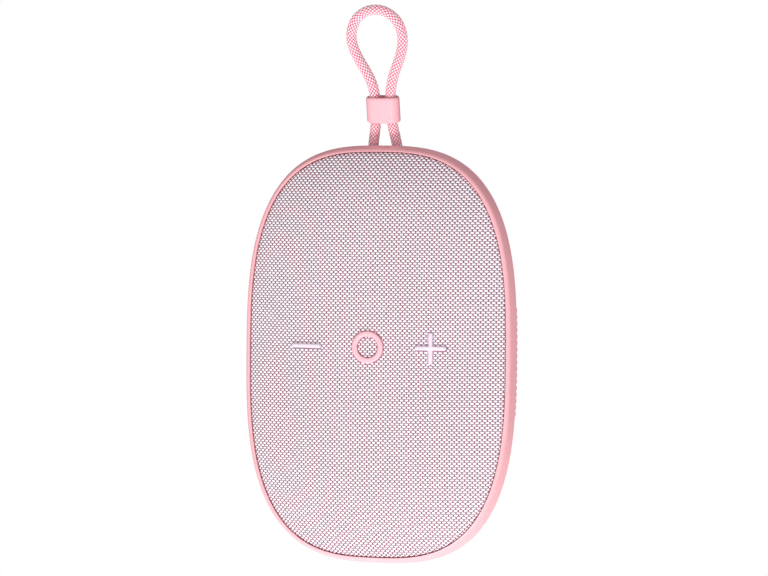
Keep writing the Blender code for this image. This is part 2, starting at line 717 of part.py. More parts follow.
cone_profile = [(0.0076, 0.0098), (0.0076, 0.0105), (0.0084, 0.0105), (0.0172, 0.0046), (0.0172, 0.0040),
                (0.0166, 0.0040)]
turned("driver_cone", cone_profile, PAPER_CONE, (0, 0, DRIVER_Z))


def arc(centre_radius, centre_depth, radius, start, end, steps):
    points = []
    for index in range(steps + 1):
        angle = math.radians(start + (end - start) * index / steps)
        points.append((
            centre_radius + radius * math.cos(angle),
            centre_depth + radius * math.sin(angle),
        ))
    return points


def half_roll(inner, outer, depth, thickness, steps=3):
    """Section of a surround: a half roll towards the front between two flat lips."""
    middle = (inner + outer) / 2
    roll = (outer - inner) / 2
    top = arc(middle, depth, roll, 180, 360, steps)
    under = arc(middle, depth, roll - thickness, 360, 180, steps)
    return [*top, *under]


turned("driver_surround", half_roll(0.0175, 0.0197, 0.0040, 0.0005), BLACK_RUBBER, (0, 0, DRIVER_Z))
SPIDER_POINTS = 5
spider_top = []
spider_under = []
for index in range(SPIDER_POINTS):
    radius = 0.0087 + (0.0149 - 0.0087) * index / (SPIDER_POINTS - 1)
    wave = 0.0004 * (1 if index % 2 else -1)
    spider_top.append((radius, 0.0115 + wave))
    spider_under.append((radius, 0.0118 + wave))
turned("driver_spider", [*spider_top, *reversed(spider_under)], PAPER_CONE, (0, 0, DRIVER_Z))
dust_cap_profile = [(0.0, 0.0072), (0.0040, 0.0075), (0.0070, 0.0086), (0.0078, 0.0095),
                    (0.0070, 0.0095), (0.0036, 0.0082), (0.0, 0.0079)]
turned("driver_dust_cap", dust_cap_profile, PAPER_CONE, (0, 0, DRIVER_Z), closed=False)

# ---------------------------------------------------------------- passive radiator


def racetrack_section(points):
    """Section for a band round the radiator: (inset from its hole, y) to half sizes."""
    return [(RADIATOR_HALF[0] - inset, RADIATOR_HALF[1] - inset, y) for inset, y in points]


frame_points = [(-0.0025, FLANGE_FRONT_Y), (-0.0025, FLANGE_Y), (0.0, FLANGE_Y), (0.0, 0.0100),
                (0.0014, 0.0100), (0.0014, FLANGE_FRONT_Y)]
band("radiator_frame", racetrack_section(frame_points), GREY_PLASTIC, RADIATOR_POWER, z=RADIATOR_Z, count=24)
roll_points = half_roll(0.0018, 0.0050, 0.0046, 0.0005)
band("radiator_surround", racetrack_section(roll_points), BLACK_RUBBER, RADIATOR_POWER, z=RADIATOR_Z,
     count=24)
plate_rings = []
for inset, y in ((0.0053, 0.0040), (0.0053, 0.0052), (0.0090, 0.0052), (0.0090, 0.0084)):
    ring = outline(RADIATOR_HALF[0] - inset, RADIATOR_HALF[1] - inset, RADIATOR_POWER, 24)
    plate_rings.append([(x, y, z + RADIATOR_Z) for x, z in ring])
loft("radiator_plate", plate_rings, PAPER_CONE)

# ---------------------------------------------------------------- buttons and their board

BUTTON_BOARD_SIZE = (0.0700, BOARD_THICKNESS, 0.0130)
box("button_board", BUTTON_BOARD_SIZE, (0, BOARD_FRONT_Y + BOARD_THICKNESS / 2, BUTTON_Z), CIRCUIT_BOARD)
SWITCH_SIZE = (0.0045, 0.0011, 0.0045)
SWITCH_TOP_Y = -0.0035         # front of a switch's actuator
POST_END_Y = -0.0041           # back of a button's post, just ahead of the actuator
POST_RADIUS = 0.0015
PILLAR_RADIUS = 0.0020         # of the pillar that carries the insert inside the ring

for label, centre_x, mark in BUTTONS:
    surface = dome_y(centre_x, BUTTON_Z)
    tilt = button_tilt(centre_x)
    back_of_grille = surface + FABRIC_THICKNESS + PART_GAP + GRILLE_THICKNESS
    flange_y = back_of_grille + FLANGE_BEHIND_GRILLE
    flange_back = flange_y + FLANGE_THICKNESS
    bite_y = flange_y + FLANGE_BITE
    colour = PINK_RUBBER if mark == "ring" else LILAC
    button_frame = empty(label + "_button_frame", (centre_x, 0, BUTTON_Z), body)
    button = turned(
        label + "_button",
        [(0.0, flange_back), (FLANGE_RADIUS, flange_back), (FLANGE_RADIUS, flange_y), (0.0, flange_y)],
        colour, parent=button_frame, sides=32, closed=False,
    )
    button.rotation_euler = (-math.pi / 2, 0, tilt)
    icon_front = surface - ICON_RAISE
    depth = bite_y - icon_front
    icon_middle = (0, (icon_front + bite_y) / 2, 0)
    if mark == "ring":
        ring_profile = [(RING_INNER / 2, icon_front), (RING_INNER / 2, bite_y), (ICON_LENGTH / 2, bite_y),
                        (ICON_LENGTH / 2, icon_front)]
        ring = turned(label + "_ring", ring_profile, None, parent=button_frame, sides=32, tool=True)
        pillar = drum(
            label + "_pillar", PILLAR_RADIUS, surface + FABRIC_THICKNESS + PART_GAP, bite_y,
            sides=12, parent=button_frame, tool=True,
        )
        join(button, ring, pillar)
        drum("play_fabric_insert", RING_INNER / 2 - PART_GAP, surface, surface + FABRIC_THICKNESS,
             mat=FABRIC, sides=32, parent=button_frame)
    else:
        bars = [box(label + "_bar", (ICON_LENGTH, depth, ICON_BAR), icon_middle, None, button_frame,
                    (0, 0, tilt), tool=True)]
        if mark == "plus":
            bars.append(box(label + "_stem", (ICON_BAR, depth, ICON_LENGTH), icon_middle, None,
                            button_frame, (0, 0, tilt), tool=True))
        join(button, *bars)
    join(button, drum(label + "_post", POST_RADIUS, bite_y, POST_END_Y, sides=10,
                      parent=button_frame, tool=True))
    switch_back = BOARD_FRONT_Y - PART_GAP
    switch_front = switch_back - SWITCH_SIZE[1]
    switch = box("tact_switch_" + label, SWITCH_SIZE,
                 (centre_x, (switch_front + switch_back) / 2, BUTTON_Z), GREY_PLASTIC)
    join(switch, drum("actuator_" + label, 0.0010, SWITCH_TOP_Y, switch_front + PART_GAP, centre_x, BUTTON_Z,
                      sides=10, tool=True))

box("status_led", (0.0016, 0.0008, 0.0008), (-0.0110, BOARD_FRONT_Y - PART_GAP - 0.0004, BUTTON_Z),
    LED_LENS)
box("microphone", (0.0030, 0.0010, 0.0022), (0.0110, BOARD_FRONT_Y - PART_GAP - 0.0005, BUTTON_Z), STEEL)

# ---------------------------------------------------------------- battery, boards and leads

cell = turned(
    "battery_cell",
    [(0.0, CELL_LENGTH / 2 + 0.0008), (0.0030, CELL_LENGTH / 2 + 0.0008), (0.0030, CELL_LENGTH / 2),
     (CELL_RADIUS, CELL_LENGTH / 2), (CELL_RADIUS, -CELL_LENGTH / 2), (0.0, -CELL_LENGTH / 2)],
    CELL_WRAP, CELL_CENTRE, sides=24, closed=False, upright=True,
)
cell.rotation_euler = (0, math.pi / 2, 0)
CRADLE_SIZE = (0.0420, 0.0098, 0.0230)
CRADLE_Y = 0.0243
TROUGH_REACH = 0.0300          # half length of the trough's cutter, longer than the cradle
cradle = box("battery_cradle", CRADLE_SIZE, (CELL_CENTRE[0], CRADLE_Y, CELL_CENTRE[2]), GREY_PLASTIC)
trough = drum("trough", CELL_RADIUS + PART_GAP, -TROUGH_REACH, TROUGH_REACH, sides=24, tool=True)
trough.location = CELL_CENTRE
trough.rotation_euler = (0, math.pi / 2, 0)
cut(cradle, trough)

board_x, board_z = MAIN_BOARD_SIZE
main_board_centre = (0, MAIN_BOARD_Y + BOARD_THICKNESS / 2, 0.0340)
box("main_board", (board_x, BOARD_THICKNESS, board_z), main_board_centre, CIRCUIT_BOARD)
component_back = MAIN_BOARD_Y - PART_GAP
box("shield_can", (0.0180, 0.0020, 0.0150), (-0.0080, component_back - 0.0010, 0.0390), STEEL, bevel=0.0003)
box("power_inductor", (0.0070, 0.0028, 0.0070), (0.0120, component_back - 0.0014, 0.0440), FERRITE,
    bevel=0.0006)
drum("buffer_capacitor", 0.0031, component_back - 0.0030, component_back, 0.0120, 0.0340, STEEL, sides=16)

usb_board_y = PORT_Y + 0.0019
box("usb_board", (0.0105, 0.0010, 0.0170), (0.0302, usb_board_y + 0.0005, PORT_Z), CIRCUIT_BOARD)
SOCKET_SIZE = (0.00735, 0.00326, 0.00894)
SOCKET_MOUTH = (0.0060, 0.00256, 0.00834)
TONGUE_SIZE = (0.0064, 0.0007, 0.0067)
TONGUE_DEPTH = 0.0038          # of the tongue's middle behind the socket's face
socket_face = PORT_FLOOR_X - PART_GAP
socket_y = PORT_Y - 0.00005
socket = box("usb_socket", SOCKET_SIZE, (socket_face - SOCKET_SIZE[0] / 2, socket_y, PORT_Z), STEEL,
             bevel=0.0006)
cut(socket, box("socket_mouth", SOCKET_MOUTH, (socket_face, socket_y, PORT_Z), tool=True))
join(socket, box("socket_tongue", TONGUE_SIZE, (socket_face - TONGUE_DEPTH, socket_y, PORT_Z), tool=True))

battery_route = [(0.0182, 0.0184, 0.0020), (0.0205, 0.0184, 0.0026), (0.0215, 0.0178, 0.0060),
                 (0.0215, 0.0160, 0.0100), (0.0200, 0.0140, 0.0150), (0.0170, 0.0145, 0.0205),
                 (0.0168, 0.0158, 0.0215)]
tube("battery_lead", smooth_path(battery_route, 3), 0.0014, BLACK_RUBBER)
driver_route = [(-0.0140, 0.0100, -0.0150), (-0.0140, 0.0086, -0.0110), (-0.0140, 0.0079, -0.0060),
                (-0.0140, 0.0079, 0.0020), (-0.0140, 0.0082, 0.0090), (-0.0142, 0.0116, 0.0140),
                (-0.0144, 0.0145, 0.0185), (-0.0144, 0.0158, 0.0205)]
tube("driver_lead", smooth_path(driver_route, 3), 0.0012, BLACK_RUBBER)


def ribbon(name, route, width, thickness, mat):
    """Flat strip, width across X, following (y, z) points."""
    bm = bmesh.new()
    rows = [
        (bm.verts.new((-width / 2, y, z)), bm.verts.new((width / 2, y, z))) for y, z in route
    ]
    for lower, upper in zip(rows, rows[1:]):
        bm.faces.new((lower[0], lower[1], upper[1], upper[0]))
    mesh = bpy.data.meshes.new(name)
    bm.to_mesh(mesh)
    bm.free()
    made = place(name, mesh, mat, location=(RIBBON_X, 0, 0))
    solid = made.modifiers.new("sheet", "SOLIDIFY")
    solid.thickness = thickness
    solid.offset = 0
    solid.use_even_offset = True
    return made


ribbon_route = [(0.0000, 0.0062), (0.0016, 0.0075), (0.0036, 0.0100), (0.0058, 0.0110), (0.0085, 0.0118),
                (0.0125, 0.0140), (0.0150, 0.0170), (0.0158, 0.0200)]
ribbon("button_ribbon", ribbon_route, RIBBON_WIDTH, 0.0003, GREY_PLASTIC)

# ---------------------------------------------------------------- port flap

flap_frame = empty("flap_hinge", (0, 0, FLAP_Z[1]), body)
flap = side_patch("port_flap", 0.0, FLAP_PROUD, FLAP_THICKNESS, PINK_RUBBER)
PLUG_SIZE = (0.0024, 0.0046, 0.0110)
PLUG_X = 0.0438
join(flap, box("flap_plug", PLUG_SIZE, (PLUG_X, PORT_Y, PORT_Z), tool=True))
flap.parent = flap_frame
flap.location = (0, 0, -FLAP_Z[1])

# ---------------------------------------------------------------- strap: grommets, anchor, bead, cord

GROMMET_FLANGE = 0.0031
GROMMET_BODY = 0.0026
GROMMET_BORE = CORD_DIAMETER / 2 + PART_GAP
for label, side in (("left", -1), ("right", 1)):
    leg_x = side * CORD_SPACING / 2
    cut(rear_shell, strap_drum("flange_seat_" + label, GROMMET_FLANGE + PART_GAP, -0.0006, 0.0060, leg_x))
    cut(rear_shell, strap_drum("body_seat_" + label, GROMMET_BODY + PART_GAP, -0.0060, 0.0010, leg_x))
    profile = [
        (GROMMET_BORE, 0.0006), (GROMMET_FLANGE - 0.0004, 0.0006), (GROMMET_FLANGE, 0.0002),
        (GROMMET_FLANGE, -0.0003), (GROMMET_BODY, -0.0003), (GROMMET_BODY, -0.0028),
        (GROMMET_BORE, -0.0028),
    ]
    turned("cord_grommet_" + label, profile, PINK_RUBBER, (leg_x, 0, 0), strap, sides=16, upright=True)

SPOTFACE_RADIUS = 0.0027
anchor_size = (0.0330, ANCHOR_Y[1] - ANCHOR_Y[0], 0.0058)
anchor = box("strap_anchor", anchor_size, (0, sum(ANCHOR_Y) / 2, ANCHOR_Z), GREY_PLASTIC)
for label, side in (("left", -1), ("right", 1)):
    cut(anchor, strap_drum("anchor_bore_" + label, GROMMET_BORE, -0.0180, 0.0020, side * CORD_SPACING / 2))
    cut(anchor, drum("anchor_clearance_" + label, CLEARANCE_HOLE, 0.0060, 0.0150, side * ANCHOR_SCREW_X,
                     ANCHOR_Z, sides=10, tool=True))
    cut(anchor, drum("anchor_spotface_" + label, SPOTFACE_RADIUS, 0.0060, 0.0092, side * ANCHOR_SCREW_X,
                     ANCHOR_Z, sides=16, tool=True))
    screw("anchor_screw_" + label, 0.0089, 0.0088, side * ANCHOR_SCREW_X, ANCHOR_Z, head=0.0022)

# One side of the cord's loop as (half spacing, height above the exit along the strap).
LOOP_HALF = [
    (0.00420, -0.0098), (0.00420, 0.0000), (0.00375, 0.0040), (0.00300, 0.0084), (0.00270, 0.0144),
    (0.00290, 0.0196), (0.00365, 0.0232), (0.00520, 0.0272), (0.00705, 0.0310), (0.00845, 0.0348),
    (0.00900, 0.0384), (0.00845, 0.0418), (0.00670, 0.0451), (0.00350, 0.0475),
]
LOOP_LEAN = 0.062              # sideways lean of the open loop to the left, over its height
LOOP_LEAN_START = 0.0225
LOOP_LEAN_MOST = 0.0009


def loop_x(side, half, height):
    """Leg position: the loop leans aside from just above the bead to its widest line."""
    return side * half - min(LOOP_LEAN * max(height - LOOP_LEAN_START, 0.0), LOOP_LEAN_MOST)


cord_route = [(loop_x(-1, half, height), 0, height) for half, height in LOOP_HALF]
cord_route.append((loop_x(0, 0, LOOP_TOP), 0, LOOP_TOP))
cord_route.extend((loop_x(1, half, height), 0, height) for half, height in reversed(LOOP_HALF))
tube("lanyard_cord", smooth_path(cord_route, 2), CORD_DIAMETER, CORD, strap)

bead_frame = empty("bead_slide", (0, 0, BEAD_ABOVE_EXIT), strap)
bead_rings = []
for width_loss, height in (
    (0.0006, -0.5), (0.0, -0.43), (0.0, 0.43), (0.0006, 0.5),
    (2 * BEAD_WALL - 0.0004, 0.5), (2 * BEAD_WALL, 0.43), (2 * BEAD_WALL, -0.43),
    (2 * BEAD_WALL - 0.0004, -0.5),
):
    ring = stadium(BEAD_WIDTH - width_loss, BEAD_DEPTH - width_loss)
    bead_rings.append([(x, y, height * BEAD_HEIGHT) for x, y in ring])
loft("lanyard_bead", bead_rings, BEAD, closed=True, parent=bead_frame)
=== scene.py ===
"""Looks of the shower speaker: fine shells, a woven front of real yarns and a braided cord loop.

Everything is in metres. Pieces of the housing are made in the body's own frame (X right, Y back,
Z up, from the centre of the rim's crease plane), and pieces of the strap in a frame at the cord's
exit that leans back like the loop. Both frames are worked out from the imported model.
"""

import json
import math

import bmesh
import bpy
import numpy as np
from mathutils import Matrix, Vector


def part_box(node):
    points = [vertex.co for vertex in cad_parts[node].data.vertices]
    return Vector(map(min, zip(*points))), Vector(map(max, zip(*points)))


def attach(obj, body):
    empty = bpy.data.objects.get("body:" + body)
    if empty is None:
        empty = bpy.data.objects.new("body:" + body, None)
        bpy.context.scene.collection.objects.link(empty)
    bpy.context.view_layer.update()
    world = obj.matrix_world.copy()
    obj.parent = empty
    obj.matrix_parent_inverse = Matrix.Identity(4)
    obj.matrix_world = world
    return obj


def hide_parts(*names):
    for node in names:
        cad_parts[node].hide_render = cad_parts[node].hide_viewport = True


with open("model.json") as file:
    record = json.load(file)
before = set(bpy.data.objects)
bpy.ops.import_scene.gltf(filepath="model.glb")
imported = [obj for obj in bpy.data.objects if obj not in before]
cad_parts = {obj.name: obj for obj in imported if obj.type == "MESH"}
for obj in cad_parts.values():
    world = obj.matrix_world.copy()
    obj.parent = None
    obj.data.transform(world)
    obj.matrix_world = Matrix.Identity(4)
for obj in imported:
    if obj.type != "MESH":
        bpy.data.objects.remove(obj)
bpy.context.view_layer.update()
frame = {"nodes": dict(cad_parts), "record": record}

# ------------------------ sizes

rim_low, rim_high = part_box("front_bezel")
HALF_WIDTH = (rim_high.x - rim_low.x) / 2
HALF_HEIGHT = (rim_high.z - rim_low.z) / 2
CORNER_POWER = 2.9             # superellipse exponent of the outline
ROUND = 256                    # points round a large outline
WIDEST_Y = 0.0045              # widest line, behind the rim's crease
PART_GAP = 0.0003
WALL = 0.0018
REAR_DEPTH = 0.0267
REAR_DRAFT = 0.30
REAR_BOWL = 0.0080
REAR_BOWL_POWER = 2.6
RIM_Y = WIDEST_Y + PART_GAP
BACK_Y = RIM_Y + REAR_DEPTH

DOME_HALF_WIDTH = HALF_WIDTH - 0.00250
DOME_HALF_HEIGHT = HALF_HEIGHT - 0.00220
DOME_EDGE_Y = -0.0005
DOME_RISE = 0.0090
DOME_POWER_SIDE = 3.0
DOME_POWER_END = 5.5
ROLL_START = 0.978             # share of the outline where the cloth starts to roll under the rim
ROLL_DROP = 0.0012
CLOTH_INSET = 0.00026          # the weave's middle layer lies this far under the dome's surface

PITCH = 0.00081                # between neighbouring yarns, both ways
YARN_WAVE = 0.00013            # height of a yarn's wave
WEFT_SIZE = (0.00038, 0.00015) # half width and half thickness
WARP_SIZE = (0.00025, 0.00014)
WEFT_LIFT = 0.00003            # the pale weft stands a little proud of the darker warp
WARP_LIFT = -0.00002

BUTTON_X = -0.00075            # middle of the row of marks
BUTTON_Z = 0.0031
BUTTON_SPACING = 0.0218
ICON_LENGTH = 0.0108
ICON_BAR = 0.0014
ICON_RAISE = 0.0008
RING_INNER = 0.0073
ICON_GAP = 0.00012             # from a mark to the backing and to the yarns' middle lines
KEY_FLANGE_RADIUS = 0.0060     # behind the grille, keeps a key in
KEY_FLANGE_THICKNESS = 0.0008
KEY_OVERLAP = 0.0004           # of the mark, the flange and the foot where they join
KEY_FOOT_RADIUS = 0.0015
KEY_PILLAR_RADIUS = 0.0020     # behind the insert in the ring

STRAP_Y = 0.0084
STRAP_LEAN = math.radians(13.5)
CORD_SPACING = 0.0084
LOOP_TOP = 0.0482
BEAD_SIZE = (0.0116, 0.0060, 0.0088)
BEAD_WALL = 0.0006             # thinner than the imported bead's, so that its opening clears the legs
BEAD_ABOVE_EXIT = 0.0138
BEAD_EDGE_HEIGHT = 0.0009      # of the bead's rounded rims
BEAD_EDGE_REACH = 0.55         # their reach inwards, as a share of that height

FLAP_Z = (-0.0205, 0.0168)
FLAP_Y = (0.0076, 0.0146)
FLAP_PROUD = 0.0005
FLAP_THICKNESS = 0.0018
FLAP_POCKET = 0.0015
PORT_Y = 0.0115
PORT_Z = -0.0045
PORT_FLOOR_X = 0.0372
PORT_SIZE = (0.0060, 0.0130)   # across and along, as the next one
PORT_MOUTH = (0.0040, 0.0098)
PORT_BLOCK_DEPTH = 0.0090
PORT_BLOCK_FLOOR = 0.0016      # of the block's plastic behind the recess
PORT_RECESS_DEPTH = 0.0140
PORT_MOUTH_DEPTH = 0.0060
PORT_MOUTH_SINK = 0.0020       # from the recess's floor to the middle of the mouth's depth
FLAP_PLUG = (0.0024, 0.0046, 0.0110)
FLAP_PLUG_X = 0.0438

BODY = Matrix.Translation((0.0, rim_high.y - WIDEST_Y, (rim_low.z + rim_high.z) / 2))


def housing_inset(y):
    """Inset of the rear shell's outline from the widest line, at depth y."""
    depth = np.minimum(y - RIM_Y, REAR_DEPTH)
    fraction = np.maximum(depth / REAR_DEPTH, 0.0) ** REAR_BOWL_POWER
    bowl = REAR_BOWL * (1.0 - (1.0 - fraction) ** (1.0 / REAR_BOWL_POWER))
    return REAR_DRAFT * depth + bowl


EXIT = Matrix.Translation((0.0, STRAP_Y, HALF_HEIGHT - float(housing_inset(STRAP_Y))))
STRAP = BODY @ EXIT @ Matrix.Rotation(STRAP_LEAN, 4, "X")

# ------------------------ camera

PHOTO_AZIMUTH = math.radians(15.5)
PHOTO_ELEVATION = math.radians(2.0)
CAMERA_DISTANCE = 1.30
CAMERA_LENS = 179.3
CAMERA_ROLL = math.radians(0.5)
AIM_RIGHT = 0.00215            # the picture's middle, seen from the body's centre
AIM_UP = 0.0228

towards_camera = Vector((
    math.sin(PHOTO_AZIMUTH) * math.cos(PHOTO_ELEVATION),
    -math.cos(PHOTO_AZIMUTH) * math.cos(PHOTO_ELEVATION),
    math.sin(PHOTO_ELEVATION),
))
camera_turn = towards_camera.to_track_quat("Z", "Y")
aim = BODY.translation + camera_turn @ Vector((AIM_RIGHT, AIM_UP, 0.0))
camera = bpy.data.objects.new("camera", bpy.data.cameras.new("camera"))
camera.data.lens = CAMERA_LENS
camera.location = aim + towards_camera * CAMERA_DISTANCE
camera.rotation_euler = (camera_turn.to_matrix() @ Matrix.Rotation(CAMERA_ROLL, 3, "Z")).to_euler()
bpy.context.scene.collection.objects.link(camera)
bpy.context.scene.camera = camera

# ------------------------ materials


def new_material(name):
    made = bpy.data.materials.new(name)
    made.use_nodes = True
    return made, made.node_tree, made.node_tree.nodes["Principled BSDF"]


def combine(tree, kind, operation, first, second):
    """Maths node of an output with a value or with another output."""
    node = tree.nodes.new(kind)
    node.operation = operation
    tree.links.new(first, node.inputs[0])
    if isinstance(second, bpy.types.NodeSocket):
        tree.links.new(second, node.inputs[1])
    else:
        node.inputs[1].default_value = second
    return node


def place_noise(tree, scale, detail=3.0, stretch=(1, 1, 1)):
    """Noise in the object's own space; scale is features a metre."""
    where = tree.nodes.new("ShaderNodeTexCoord")
    factors = [scale * s for s in stretch]
    sized = combine(tree, "ShaderNodeVectorMath", "MULTIPLY", where.outputs["Object"], factors)
    noise = tree.nodes.new("ShaderNodeTexNoise")
    noise.inputs["Scale"].default_value = 1.0
    noise.inputs["Detail"].default_value = detail
    tree.links.new(sized.outputs[0], noise.inputs["Vector"])
    return noise.outputs["Fac"]


def ramp(tree, source, stops):
    """Colour ramp from (position, colour) stops."""
    node = tree.nodes.new("ShaderNodeValToRGB")
    elements = node.color_ramp.elements
    while len(elements) < len(stops):
        elements.new(0.5)
    for element, (position, colour) in zip(elements, stops):
        element.position = position
        element.color = (*colour, 1.0)
    tree.links.new(source, node.inputs["Fac"])
    return node.outputs["Color"]


def bump(tree, source, distance, strength=1.0, below=None):
    node = tree.nodes.new("ShaderNodeBump")
    node.inputs["Strength"].default_value = strength
    node.inputs["Distance"].default_value = distance
    tree.links.new(source, node.inputs["Height"])
    if below is not None:
        tree.links.new(below, node.inputs["Normal"])
    return node.outputs["Normal"]


def spread(tree, source, low, high):
    """Maps a value from 0-1 to low-high."""
    node = tree.nodes.new("ShaderNodeMapRange")
    node.inputs["To Min"].default_value = low
    node.inputs["To Max"].default_value = high
    tree.links.new(source, node.inputs["Value"])
    return node.outputs["Result"]


def shade(colour, factor):
    return tuple(min(channel * factor, 1.0) for channel in colour)


def moulded(name, colour, roughness, grain=2600, depth=0.00002, metallic=0.0, mottle=0.03,
            stretch=(1, 1, 1), specular=0.5):
    """Moulded, plated or pressed surface: fine grain, faint mottling, uneven gloss."""
    made, tree, shader = new_material(name)
    broad = place_noise(tree, 60, 2.0)
    fine = place_noise(tree, grain, 3.0, stretch)
    tint = ramp(tree, broad, [(0.3, shade(colour, 1 - mottle)), (0.7, shade(colour, 1 + mottle))])
    tree.links.new(tint, shader.inputs["Base Color"])
    uneven = spread(tree, fine, roughness - 0.08, roughness + 0.08)
    tree.links.new(uneven, shader.inputs["Roughness"])
    tree.links.new(bump(tree, fine, depth), shader.inputs["Normal"])
    shader.inputs["Metallic"].default_value = metallic
    shader.inputs["Specular IOR Level"].default_value = specular
    return made


soft_touch = moulded("soft_touch_pink", (0.93, 0.43, 0.475), 0.65, specular=0.05)
rim_pink = moulded("rim_pink", (0.95, 0.455, 0.50), 0.42, depth=0.000012)
pink_rubber = moulded("pink_rubber", (0.93, 0.44, 0.485), 0.55, grain=3400)
lilac = moulded("lilac_rubber", (0.79, 0.68, 0.77), 0.45, grain=3400, depth=0.00001)
ring_pink = moulded("ring_pink", (0.97, 0.50, 0.56), 0.45, grain=3400, depth=0.00001)
bead_pink = moulded("bead_pink", (0.98, 0.465, 0.52), 0.40, depth=0.00001)
grey_plastic = moulded("grey_plastic", (0.16, 0.16, 0.17), 0.55, grain=1800, mottle=0.08)
black_rubber = moulded("black_rubber", (0.03, 0.03, 0.03), 0.75, grain=1500, mottle=0.2)
steel = moulded("plated_steel", (0.62, 0.62, 0.64), 0.32, grain=900, depth=0.00001, metallic=1.0,
                stretch=(0.2, 4, 0.2))
ferrite = moulded("ferrite", (0.055, 0.055, 0.06), 0.6, grain=5200, depth=0.00005, mottle=0.25)
paper = moulded("pressed_paper", (0.10, 0.095, 0.09), 0.8, grain=1400, depth=0.00006, mottle=0.2,
                stretch=(1, 3, 1))
cell_wrap = moulded("cell_wrap", (0.10, 0.25, 0.55), 0.35, grain=500, depth=0.00002, mottle=0.1)
led_lens = moulded("led_lens", (0.90, 0.92, 0.95), 0.20, grain=1200, depth=0.000005)


def circuit_board_material():
    """Solder mask over tracks: a lattice in relief, lighter green where it is low."""
    made, tree, shader = new_material("circuit_board")
    where = tree.nodes.new("ShaderNodeTexCoord")
    tracks = tree.nodes.new("ShaderNodeTexVoronoi")
    tracks.distance = "MANHATTAN"
    tracks.inputs["Scale"].default_value = 420
    tree.links.new(where.outputs["Object"], tracks.inputs["Vector"])
    tint = ramp(tree, tracks.outputs["Distance"],
                [(0.25, (0.03, 0.24, 0.10)), (0.45, (0.015, 0.13, 0.06))])
    tree.links.new(tint, shader.inputs["Base Color"])
    tree.links.new(bump(tree, tracks.outputs["Distance"], 0.00004), shader.inputs["Normal"])
    shader.inputs["Roughness"].default_value = 0.4
    return made


def winding_material():
    """Copper wire wound in fine turns along Y."""
    made, tree, shader = new_material("wound_copper")
    where = tree.nodes.new("ShaderNodeTexCoord")
    turns = tree.nodes.new("ShaderNodeTexWave")
    turns.bands_direction = "Y"
    turns.inputs["Scale"].default_value = 1500
    tree.links.new(where.outputs["Object"], turns.inputs["Vector"])
    tint = ramp(tree, turns.outputs["Fac"], [(0.1, (0.42, 0.17, 0.09)), (0.7, (0.78, 0.38, 0.21))])
    tree.links.new(tint, shader.inputs["Base Color"])
    tree.links.new(bump(tree, turns.outputs["Fac"], 0.00006), shader.inputs["Normal"])
    shader.inputs["Metallic"].default_value = 1.0
    shader.inputs["Roughness"].default_value = 0.35
    return made


def yarn_material(name, stops, tints, fibre, relief=0.00004):
    """Spun yarn: coloured from its dips to its crests, with each crossing tinted by chance."""
    made, tree, shader = new_material(name)
    crest = tree.nodes.new("ShaderNodeAttribute")
    crest.attribute_name = "crest"
    body = ramp(tree, crest.outputs["Fac"], stops)
    cell = tree.nodes.new("ShaderNodeAttribute")
    cell.attribute_name = "crossing"
    chance = tree.nodes.new("ShaderNodeTexWhiteNoise")
    chance.noise_dimensions = "1D"
    tree.links.new(cell.outputs["Fac"], chance.inputs["W"])
    tint = ramp(tree, chance.outputs["Value"], tints)
    mix = tree.nodes.new("ShaderNodeMix")
    mix.data_type = "RGBA"
    mix.blend_type = "MULTIPLY"
    mix.inputs["Factor"].default_value = 1.0
    tree.links.new(body, mix.inputs["A"])
    tree.links.new(tint, mix.inputs["B"])
    tree.links.new(mix.outputs["Result"], shader.inputs["Base Color"])
    strands = place_noise(tree, 5200, 2.0, fibre)
    tree.links.new(bump(tree, strands, relief), shader.inputs["Normal"])
    tree.links.new(spread(tree, strands, 0.75, 0.95), shader.inputs["Roughness"])
    shader.inputs["Sheen Weight"].default_value = 0.12
    return made


WHITE = (1.0, 1.0, 1.0)
# The weft runs from lilac at its dips to white over its crests: the lilac is painted shade where the
# weft dives under the warp.
weft_white = yarn_material(
    "weft_white", [(0.06, (0.74, 0.50, 0.68)), (0.38, (1.0, 0.98, 1.0))],
    [(0.0, (0.96, 0.90, 0.98)), (0.4, WHITE), (1.0, WHITE)], (0.3, 1, 2.0),
)
warp_mauve = yarn_material(
    "warp_mauve", [(0.35, (0.78, 0.50, 0.68)), (0.75, (0.33, 0.14, 0.17))],
    [(0.0, (0.62, 0.55, 0.55)), (0.5, WHITE), (1.0, (1.0, 0.85, 1.0))], (2.0, 1, 0.3),
)
backing_mauve = moulded("backing_mauve", (0.70, 0.45, 0.59), 0.9, grain=4200, depth=0.00004,
                        mottle=0.1)
CORD_PINK = (1.0, 0.25, 0.37)
cord_strand = yarn_material(
    "cord_strand", [(0.64, CORD_PINK), (0.86, (1.0, 0.98, 0.99))],
    [(0.0, (0.97, 0.93, 0.95)), (1.0, WHITE)], (1, 1, 1), 0.00001,
)
cord_core = moulded("cord_core", CORD_PINK, 0.8, grain=4200, depth=0.00001)

SLOT_MATERIALS = {
    "soft_touch": soft_touch, "rim_gloss": rim_pink, "pink_rubber": pink_rubber,
    "lilac_icon": lilac, "woven_fabric": backing_mauve, "braided_cord": cord_core,
    "bead": bead_pink, "grey_plastic": grey_plastic, "black_rubber": black_rubber,
    "circuit_board": circuit_board_material(), "steel": steel, "ferrite": ferrite,
    "copper": winding_material(), "paper_cone": paper, "cell_wrap": cell_wrap,
    "led_lens": led_lens,
}
for subpart in frame["record"]["subparts"]:
    node = frame["nodes"][subpart["node"]]
    for material_slot in node.material_slots:
        material_slot.material = SLOT_MATERIALS[subpart["material_slot"]]

# ------------------------ mesh building


def new_object(name, mesh, material, where=BODY):
    made = bpy.data.objects.new(name, mesh)
    made.matrix_world = where
    if material is not None:
        mesh.materials.append(material)
    bpy.context.scene.collection.objects.link(made)
    return made


def smooth(made, angle=35):
    made.data.shade_smooth()
    made.data.set_sharp_from_angle(angle=math.radians(angle))


